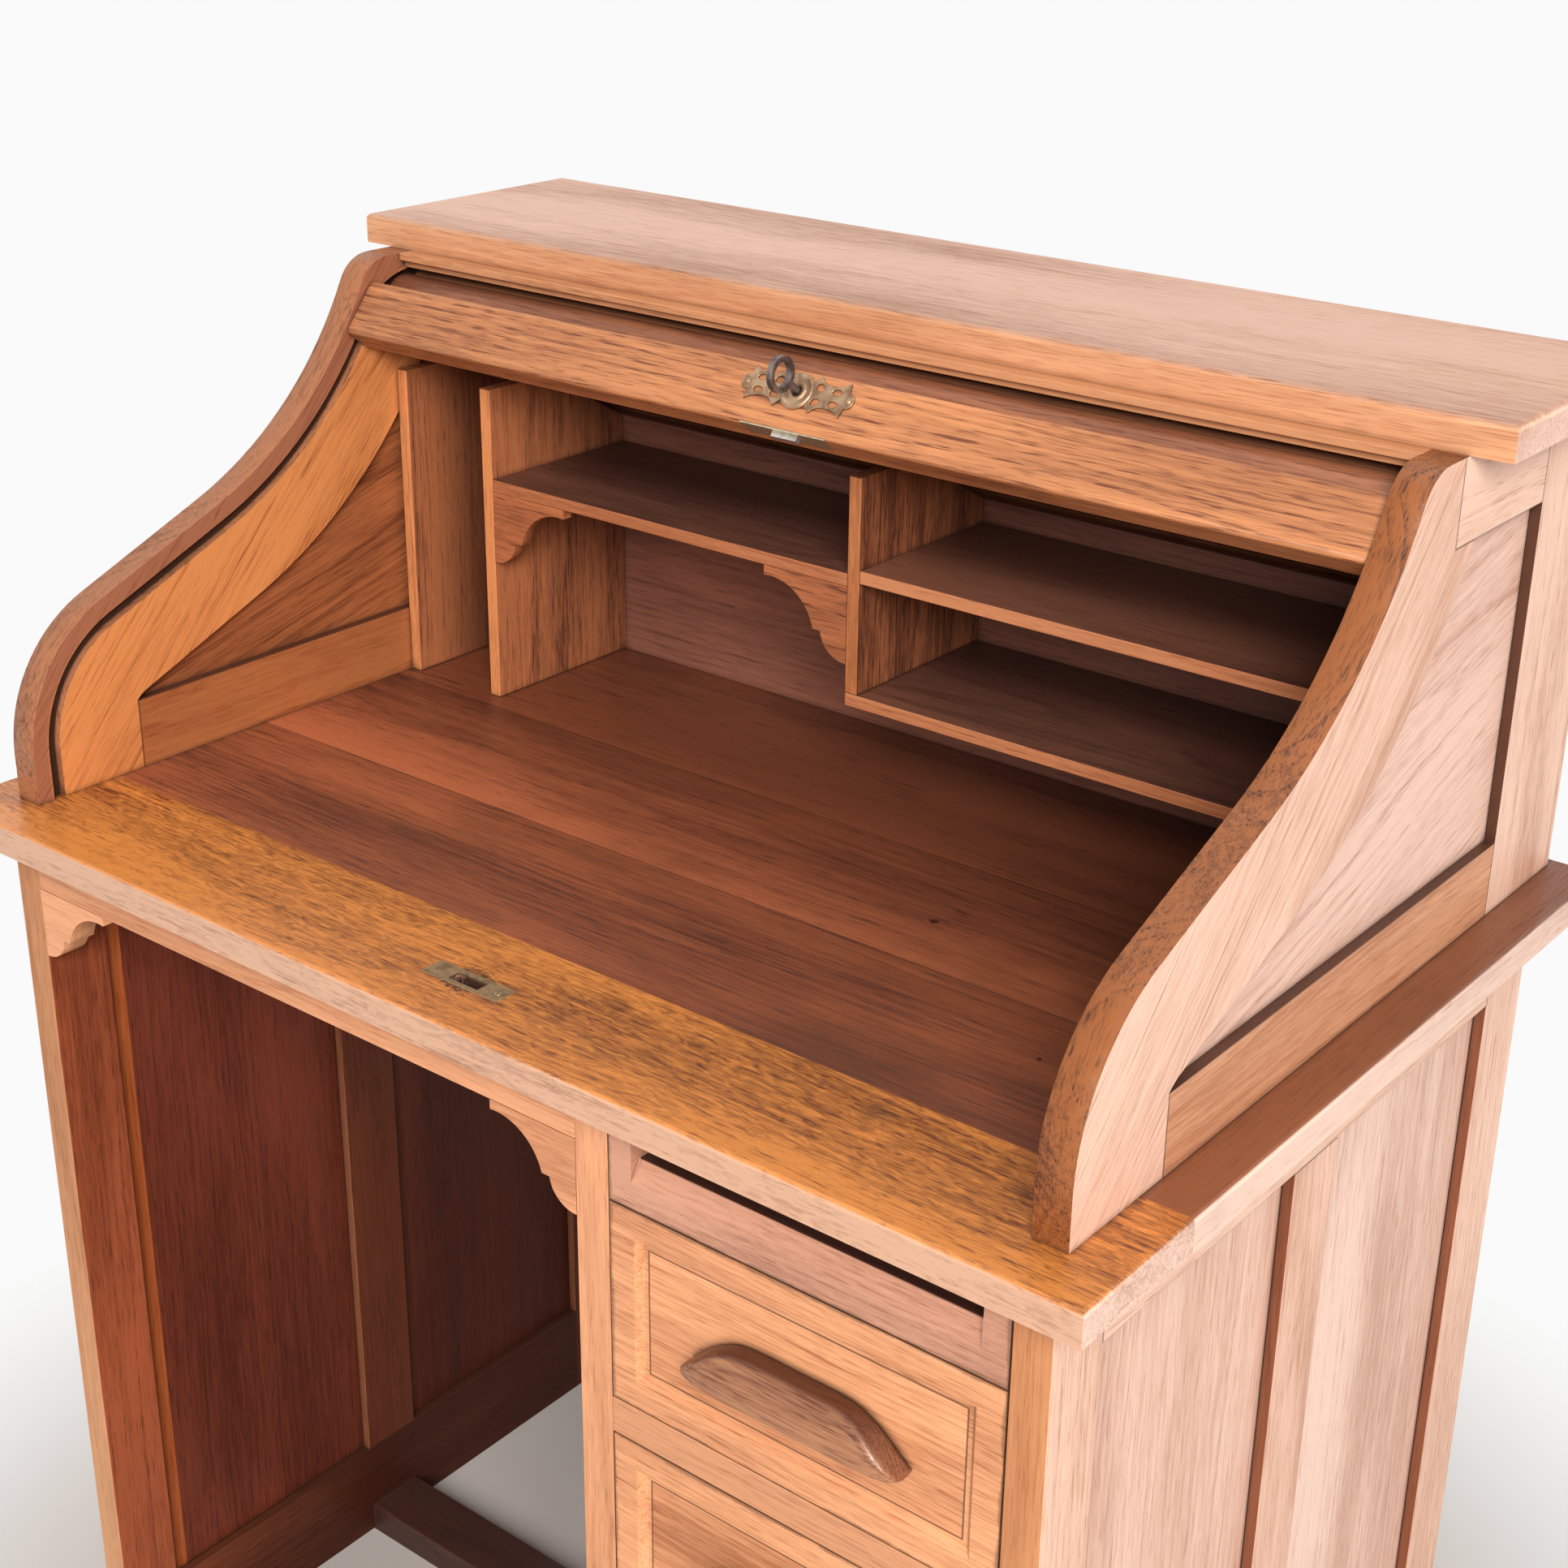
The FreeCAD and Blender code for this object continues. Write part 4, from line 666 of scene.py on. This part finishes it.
SIDE_PALE, SIDE_DARK = (0.31, 0.098, 0.028), (0.055, 0.0145, 0.0052)
ROSY_PALE, ROSY_DARK = (0.39, 0.150, 0.066), (0.115, 0.037, 0.016)
SIDE_PANEL_PALE, SIDE_PANEL_DARK = (0.52, 0.168, 0.058), (0.19, 0.053, 0.019)
INNER_GOLD = (0.88, 0.315, 0.090)
INNER_BROWN = (0.35, 0.107, 0.036)
RAIL_TAN = (0.70, 0.30, 0.125)
LIP_TINT = (0.52, 0.52, 0.85)
STILE_SLOPE, PANEL_SLOPE = 48.0, 14.0
SIDE_BOTTOM_RAIL = 0.050
SIDE_TOP_RAIL, SIDE_TOP_RAIL_START = 0.052, 0.36
SIDE_BACK_STILE = 0.098
SIDE_STILE_FOOT = 0.088
WALL_HALF, WALL_END = 0.012, 0.03
GROOVE_DEPTH = 0.006
HAIR = 0.0008
COURSE_STEPS = 40


def groove_course(node, floor, low, high):
    """The front edge of the groove, read from the groove's floor in shares of the side's height and depth."""
    mesh = frame["nodes"][node].data
    edges = [[mesh.vertices[corner].co for corner in edge.vertices] for edge in mesh.edges]
    edges = [edge for edge in edges if all(abs(corner.x - floor) < HAIR for corner in edge)]
    course = []
    for step in range(1, COURSE_STEPS):
        level = low[2] + (high[2] - low[2]) * step / COURSE_STEPS
        crossed = [first.y + (second.y - first.y) * (level - first.z) / (second.z - first.z)
                   for first, second in edges if (first.z - level) * (second.z - level) < 0.0]
        if crossed:
            course.append((step / COURSE_STEPS, (min(crossed) - low[1]) / (high[1] - low[1])))
    return course


for side, outward, inward, pale, dark, seed in (("left", LEFT_WAY, RIGHT_WAY, ROSY_PALE, ROSY_DARK, 19.0),
                                                ("right", RIGHT_WAY, LEFT_WAY, SIDE_PALE, SIDE_DARK, 20.3)):
    low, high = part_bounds("upper_side_" + side)
    stile_start = high[1] - SIDE_BACK_STILE
    rail_run = (low[1] + SIDE_STILE_FOOT, stile_start)
    floor = low[0] + GROOVE_DEPTH if side == "right" else high[0] - GROOVE_DEPTH
    groove = between(x=(floor - HAIR, floor + HAIR))
    bottom_rail = between(y=rail_run, z=(low[2] - PAST, low[2] + SIDE_BOTTOM_RAIL))
    top_rail = between(y=(low[1] + SIDE_TOP_RAIL_START, stile_start), z=(high[2] - SIDE_TOP_RAIL, high[2] + PAST))
    back_stile = between(y=(stile_start, high[1] + PAST), z=(low[2] - PAST, high[2] + PAST))
    stile_wall = between(y=(stile_start - WALL_HALF, stile_start + WALL_HALF),
                         z=(low[2] + WALL_END, high[2] - WALL_END))
    rail_wall = between(y=rail_run, z=(low[2] + WALL_END, low[2] + SIDE_BOTTOM_RAIL + PAST))
    board("upper_side_" + side, "upper_side_oak_" + side, STILE_SLOPE, "X", pale, dark, seed=seed, bold=0.7,
          flake=0.1, edge_flake=0.55, rub=0.0,
          joins=((bottom_rail, "Y", 0.9), (top_rail, "Y", 0.95), (back_stile, "Z", 1.1)),
          # Painted sheen outside; painted shade on the groove's floor and the walls round the panel.
          faces=((outward, FRAME_ROSE_SHEEN, 0.95), (outward, RAIL_TAN, 0.7, bottom_rail), (inward, INNER_GOLD, 0.6),
                 (inward, INNER_BROWN, 0.85, bottom_rail), (inward, GRIME_AND_SHADE_BROWN, 1.0, groove),
                 (FRONT_WAY, RECESS_SHADE_BROWN, 0.95, stile_wall), (UP_WAY, RECESS_SHADE_BROWN, 0.9, rail_wall)),
          lips=((inward, LIP_TINT, groove_course("upper_side_" + side, floor, low, high)),))
    board("upper_panel_" + side, "upper_panel_oak_" + side, PANEL_SLOPE, "X", SIDE_PANEL_PALE, SIDE_PANEL_DARK,
          seed=seed + 0.5, eased=0.0, bold=0.9, faces=((outward, PANEL_ROSE_SHEEN, 0.93),), rub=0.0)
board("upper_back", "upper_back_oak", "X", "Y", CARCASE_PALE, CARCASE_DARK, seed=21.9)


# Top board: one wide oak board laid on the sides, faded by light on top, with a painted pale sheen on its ends.
# A narrow stepped cornice is glued under its front edge, and the curtain rolls in behind it.

TOP_PALE, TOP_DARK = (0.69, 0.388, 0.266), (0.33, 0.145, 0.080)
TOP_EDGE = (0.69, 0.335, 0.170)
CORNICE_PALE, CORNICE_DARK = (0.62, 0.28, 0.13), (0.30, 0.105, 0.046)
board("top_board", "top_oak", "X", "Z", TOP_PALE, TOP_DARK, seed=23.1, bold=0.3,
      faces=((FRONT_WAY, TOP_EDGE, 0.9), (RIGHT_WAY, PALE_ROSE_SHEEN, 0.8), (LEFT_WAY, PALE_ROSE_SHEEN, 0.8)),
      rub=0.12, stain=0.12, gloss=0.02, sheen=0.4)
board("cornice_rail", "cornice_oak", "X", "Y", CORNICE_PALE, CORNICE_DARK, seed=24.0, ring=0.004, rub=0.0)


# Gallery: uprights and shelves of thin oak, housed into each other, with shaped brackets under one
# shelf. Front edges are rubbed to a golden colour. The shelves and the back are darker as painted shade, and all
# are painted darker towards the back, the shelves also towards the right.

UPRIGHT_PALE, UPRIGHT_DARK = (0.48, 0.160, 0.064), (0.09, 0.026, 0.014)
# Shelves and back: darker colours, painted shade.
SHELF_PALE, SHELF_DARK = (0.23, 0.088, 0.052), (0.080, 0.030, 0.020)
BEHIND_PALE, BEHIND_DARK = (0.25, 0.094, 0.060), (0.10, 0.037, 0.025)
UPRIGHT_EDGE = (0.66, 0.265, 0.095)
SHELF_EDGE = (0.56, 0.215, 0.090)
# Painted shade in the gallery: darker towards the back, the shelves also towards the right.
END_SHADE = (("Y", 0.075, 0.14, 0.7),)
DIVIDER_SHADE = (("Y", 0.10, 0.21, 0.4),)
SHELF_SHADE = (("Y", 0.075, 0.17, 0.72), ("X", 0.12, 0.40, 0.4))
for node, seed, shade in (("gallery_end", 25.1, END_SHADE), ("gallery_divider_left", 25.9, DIVIDER_SHADE),
                          ("gallery_divider_middle", 26.6, DIVIDER_SHADE)):
    board(node, node + "_oak", "Z", "X", UPRIGHT_PALE, UPRIGHT_DARK, seed=seed, flake=0.25, deep=shade,
          faces=((FRONT_WAY, UPRIGHT_EDGE, 0.65),))
for node, seed in (("gallery_shelf_middle", 27.4), ("gallery_shelf_upper", 28.3), ("gallery_shelf_lower", 29.0)):
    board(node, node + "_oak", "X", "Z", SHELF_PALE, SHELF_DARK, seed=seed, deep=SHELF_SHADE,
          faces=((FRONT_WAY, SHELF_EDGE, 0.75),))
board("gallery_back", "gallery_back_oak", "X", "Y", BEHIND_PALE, BEHIND_DARK, seed=29.8, eased=0.0)
board("gallery_brackets", "gallery_bracket_oak", "X", "Y", UPRIGHT_PALE, UPRIGHT_DARK, seed=30.5, rub=0.0)


# Curtain: half-round oak slats side by side, polished dark by sliding in the grooves of the sides.
# They follow the lock rail and roll away under the top board.

SLAT_PALE, SLAT_DARK = (0.34, 0.125, 0.058), (0.13, 0.040, 0.020)
for number in range(1, 16):
    slat = "slat_%02d" % number
    board(slat, slat + "_oak", "X", "Z", SLAT_PALE, SLAT_DARK, seed=31.0 + number * 0.43, eased=0.0004, ring=0.004,
          rub=0.0, gloss=0.06)


# Lock rail: the straight bottom rail of the curtain, one piece of oak with bold grain and a few scars.
# The brass lock is let into it from behind, with a steel bolt and a key that stands in it.

RAIL_PALE, RAIL_DARK = (0.63, 0.255, 0.105), (0.17, 0.050, 0.020)
RAIL_SCARS = (((0.201, 0.046, 1.060), 0.0024), ((0.280, 0.045, 1.059), 0.0042))
LOCK_BRASS, LOCK_BROWN = (0.72, 0.62, 0.45), (0.40, 0.32, 0.20)
BOLT_STEEL, BOLT_GREY = (0.72, 0.69, 0.64), (0.42, 0.38, 0.33)
KEY_STEEL, KEY_BROWN = (0.25, 0.21, 0.20), (0.075, 0.055, 0.05)
board("lock_rail", "lock_rail_oak", "X", "Y", RAIL_PALE, RAIL_DARK, seed=39.2, eased=0.0012, ring=0.0035, bold=0.75,
      rub=0.0, stain=0.2, marks=RAIL_SCARS, sheen=0.45)
for node, metal, clean, tarnish, seed, metal_rough, eased in (
        ("lock_case", "lock_brass", LOCK_BRASS, LOCK_BROWN, 1.1, 0.28, 0.0),
        ("lock_bolt", "bolt_steel", BOLT_STEEL, BOLT_GREY, 2.2, 0.25, 0.0003),
        ("key", "key_steel", KEY_STEEL, KEY_BROWN, 4.4, 0.36, 0.0006)):
    dress(node, old_metal(metal, clean, tarnish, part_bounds(node), seed, metal_rough), eased)


# Escutcheon: a cast brass plate round the keyhole with two pierced wings, filed at its edges and pinned
# to the rail at both ends. A turned collar stands round the key. Its lines are in millimetres.

ESCUTCHEON_BRASS, ESCUTCHEON_BROWN = (0.52, 0.34, 0.205), (0.23, 0.135, 0.08)
MM = 0.001
PLATE_FLAT = 0.0003
PLATE_FILED = 0.00042
PLATE_JOIN = 0.000005
KEYHOLE = 4.0
WING_LINE = ((0.0, 12.2, "AUTO"), (6.4, 10.5, "AUTO"), (9.6, 7.2, "VECTOR"), (14.2, 12.4, "VECTOR"),
             (18.0, 8.7, "AUTO"), (25.0, 7.4, "AUTO"), (32.0, 8.3, "AUTO"), (37.4, 11.2, "VECTOR"),
             (38.3, 5.2, "VECTOR"), (42.3, 4.0, "AUTO"), (43.8, 0.0, "AUTO"))
WING_HOLES = (((12.9, 7.3), (20.2, 4.9), (15.4, 1.9)), ((25.6, 4.4), (34.0, 4.6), (30.0, 1.7)))
COLLAR_LINE = ((12.0, 0.3), (12.0, 1.5), (11.4, 2.1), (10.6, 2.3), (9.8, 2.0), (9.2, 1.6), (7.2, 1.6), (6.4, 2.1),
               (5.6, 2.4), (4.7, 2.2), (4.1, 1.6), (4.1, 0.3))
PIN_LINE = ((2.3, 1.2), (2.2, 1.7), (1.7, 2.15), (0.9, 2.4), (0.05, 2.45), (0.05, 1.2))
PIN_PLACE = 40.2
RING_STEPS = 40


def cut_line(sheet, corners):
    """A closed line in the plate's plane: the outline or one of the pierced holes."""
    line = sheet.splines.new("BEZIER")
    line.bezier_points.add(len(corners) - 1)
    line.use_cyclic_u = True
    line.resolution_u = 5
    for knot, (across, up, kind) in zip(line.bezier_points, corners):
        knot.co = (across * MM, up * MM, 0.0)
        knot.handle_left_type = knot.handle_right_type = kind


def turned_ring(shape, line, centre):
    """Turns a closed line round an axis that stands on the plate."""
    rings = []
    for step in range(RING_STEPS):
        way = 2.0 * math.pi * step / RING_STEPS
        rings.append([shape.verts.new(Vector((centre + radius * math.cos(way), radius * math.sin(way), height)) * MM)
                      for radius, height in line])
    for step in range(RING_STEPS):
        first, second = rings[step], rings[(step + 1) % RING_STEPS]
        for index in range(len(line)):
            after = (index + 1) % len(line)
            shape.faces.new((first[index], second[index], second[after], first[after]))


right_half = list(WING_LINE) + [(across, -up, kind) for across, up, kind in reversed(WING_LINE[:-1])]
left_half = [(-across, up, kind) for across, up, kind in reversed(right_half[1:-1])]
sheet = bpy.data.curves.new("escutcheon_line", "CURVE")
sheet.dimensions = "2D"
sheet.fill_mode = "BOTH"
sheet.extrude = PLATE_FLAT
sheet.bevel_depth = PLATE_FILED
sheet.bevel_resolution = 1
cut_line(sheet, right_half + left_half)
for hole in WING_HOLES:
    for hand in (1, -1):
        for turn in (1, -1):
            cut_line(sheet, [(across * hand, up * turn, "AUTO") for across, up in hole])
cut_line(sheet, [(KEYHOLE, 0.0, "AUTO"), (0.0, KEYHOLE, "AUTO"), (-KEYHOLE, 0.0, "AUTO"), (0.0, -KEYHOLE, "AUTO")])
drawn = bpy.data.objects.new("escutcheon_drawn", sheet)
plate_mesh = bpy.data.meshes.new_from_object(drawn)
bpy.data.objects.remove(drawn)

shape = bmesh.new()
shape.from_mesh(plate_mesh)
bmesh.ops.remove_doubles(shape, verts=shape.verts, dist=PLATE_JOIN)
bmesh.ops.translate(shape, verts=shape.verts, vec=(0.0, 0.0, PLATE_FLAT + PLATE_FILED))
turned_ring(shape, COLLAR_LINE, 0.0)
for hand in (1, -1):
    turned_ring(shape, PIN_LINE, PIN_PLACE * hand)
bmesh.ops.recalc_face_normals(shape, faces=shape.faces)

key_turn = [joint for joint in frame["record"]["behaviour"]["joints"] if joint["name"] == "key_turn"][0]
key_place = Vector(key_turn["pos_m"])
outward = Vector(key_turn["axis"])
across = Vector(RIGHT_WAY)
rail_face = min((corner.co - key_place).dot(outward) for corner in frame["nodes"]["escutcheon"].data.vertices)
stand = Matrix((across, outward.cross(across), outward)).transposed().to_4x4()
bmesh.ops.transform(shape, matrix=Matrix.Translation(key_place + outward * rail_face) @ stand, verts=shape.verts)
plate_mesh.clear_geometry()
shape.to_mesh(plate_mesh)
shape.free()
plate_mesh.materials.clear()
plate_mesh.materials.append(
    old_metal("escutcheon_brass", ESCUTCHEON_BRASS, ESCUTCHEON_BROWN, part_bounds("escutcheon"), seed=3.7))
pierced_plate = bpy.data.objects.new("escutcheon_pierced", plate_mesh)
bpy.context.scene.collection.objects.link(pierced_plate)
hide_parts("escutcheon")
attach(pierced_plate, "lock_rail")


# Studio: a pale paper floor that runs out of the picture, a wide soft light at the front right, a fill
# behind that leaves no glare, a weak light above, and a camera where the photograph was taken from.

PAPER_PALE, PAPER_GREY = (0.54, 0.50, 0.47), (0.46, 0.43, 0.40)
PAPER_WHITE = (0.955, 0.955, 0.955)
PAPER_WAVES = (30.0, 30.0, 30.0)
SHADOW_END, WHITE_START = 0.45, 1.0
REACH = 14.0


def shown(tree):
    """1 for what the camera, a reflection or glass sees, 0 for light that falls on the desk."""
    rays = put(tree, "ShaderNodeLightPath").outputs
    mirrored = sums(tree, "ADD", rays["Is Camera Ray"], rays["Is Glossy Ray"])
    return sums(tree, "ADD", mirrored, rays["Is Transmission Ray"], clamp=True)


floor_mesh = bpy.data.meshes.new("studio_floor")
floor_mesh.from_pydata([(-REACH, -REACH, 0.0), (REACH, -REACH, 0.0), (REACH, REACH, 0.0), (-REACH, REACH, 0.0)],
                       [], [(0, 1, 2, 3)])
studio_floor = bpy.data.objects.new("studio_floor", floor_mesh)
bpy.context.scene.collection.objects.link(studio_floor)
paper = bpy.data.materials.new("studio_paper")
paper.use_nodes = True
tree = paper.node_tree
tree.nodes.clear()
place = put(tree, "ShaderNodeTexCoord").outputs["Object"]
away = ramp(tree, vector_size(tree, "LENGTH", place), SHADOW_END, WHITE_START)
grit = sums(tree, "MULTIPLY", grain_noise(tree, place, PAPER_WAVES, 3.0)[0], 0.2)
lit = put(tree, "ShaderNodeBsdfDiffuse", {"Color": blend(tree, grit, solid(PAPER_PALE), solid(PAPER_GREY))})
glow = put(tree, "ShaderNodeEmission", {"Color": solid(PAPER_WHITE)})
white = sums(tree, "MULTIPLY", shown(tree), away)
both = put(tree, "ShaderNodeMixShader", {0: white, 1: lit.outputs[0], 2: glow.outputs[0]})
tree.links.new(both.outputs[0], put(tree, "ShaderNodeOutputMaterial").inputs[0])
floor_mesh.materials.append(paper)

AIR_WHITE = (1.0, 0.99, 0.98)
AIR_LIGHT = 0.12
air = bpy.data.worlds.new("studio_air")
air.use_nodes = True
tree = air.node_tree
tree.nodes.clear()
strength = sums(tree, "ADD", AIR_LIGHT, sums(tree, "MULTIPLY", shown(tree), 1.0 - AIR_LIGHT))
sky = put(tree, "ShaderNodeBackground", {"Color": solid(AIR_WHITE), "Strength": strength})
tree.links.new(sky.outputs[0], put(tree, "ShaderNodeOutputWorld").inputs[0])
bpy.context.scene.world = air

LAMP_WHITE = (1.0, 0.98, 0.95)


def softbox(name, place, target, width, watts, glare=True):
    """A square soft light aimed at a point of the desk."""
    lamp = bpy.data.lights.new(name, "AREA")
    lamp.shape = "RECTANGLE"
    lamp.size = lamp.size_y = width
    lamp.energy = watts
    lamp.color = LAMP_WHITE
    box = bpy.data.objects.new(name, lamp)
    box.visible_glossy = glare
    aim = Vector(target) - Vector(place)
    box.matrix_world = Matrix.Translation(place) @ aim.to_track_quat("-Z", "Y").to_matrix().to_4x4()
    bpy.context.scene.collection.objects.link(box)


softbox("key_light", place=(3.7, -4.7, 4.1), target=(0.0, 0.0, 0.8), width=3.2, watts=640.0)
softbox("back_fill", place=(-3.6, 3.4, 2.2), target=(0.0, 0.0, 0.7), width=3.0, watts=130.0, glare=False)
softbox("top_light", place=(0.2, 0.4, 3.4), target=(0.0, 0.0, 1.0), width=2.6, watts=20.0)

EYE = (0.934343, -1.140994, 1.457764)
LOOK = (-0.57096914, 0.71671772, -0.40038725)
PICTURE_RIGHT = (0.77902798, 0.62688837, 0.01124179)
LENS_PIXELS = 3019.0
IMAGE_PIXELS = 1932.0
SENSOR = 36.0
right = Vector(PICTURE_RIGHT).normalized()
back = -Vector(LOOK).normalized()
up = back.cross(right).normalized()
lens = bpy.data.cameras.new("photo_camera")
lens.sensor_fit = "HORIZONTAL"
lens.sensor_width = SENSOR
lens.lens = LENS_PIXELS / IMAGE_PIXELS * SENSOR
lens.clip_end = 60.0
camera = bpy.data.objects.new("photo_camera", lens)
camera.matrix_world = Matrix.Translation(EYE) @ Matrix((right, up, back)).transposed().to_4x4()
bpy.context.scene.collection.objects.link(camera)
bpy.context.scene.camera = camera
bpy.context.scene.view_settings.view_transform = "Standard"
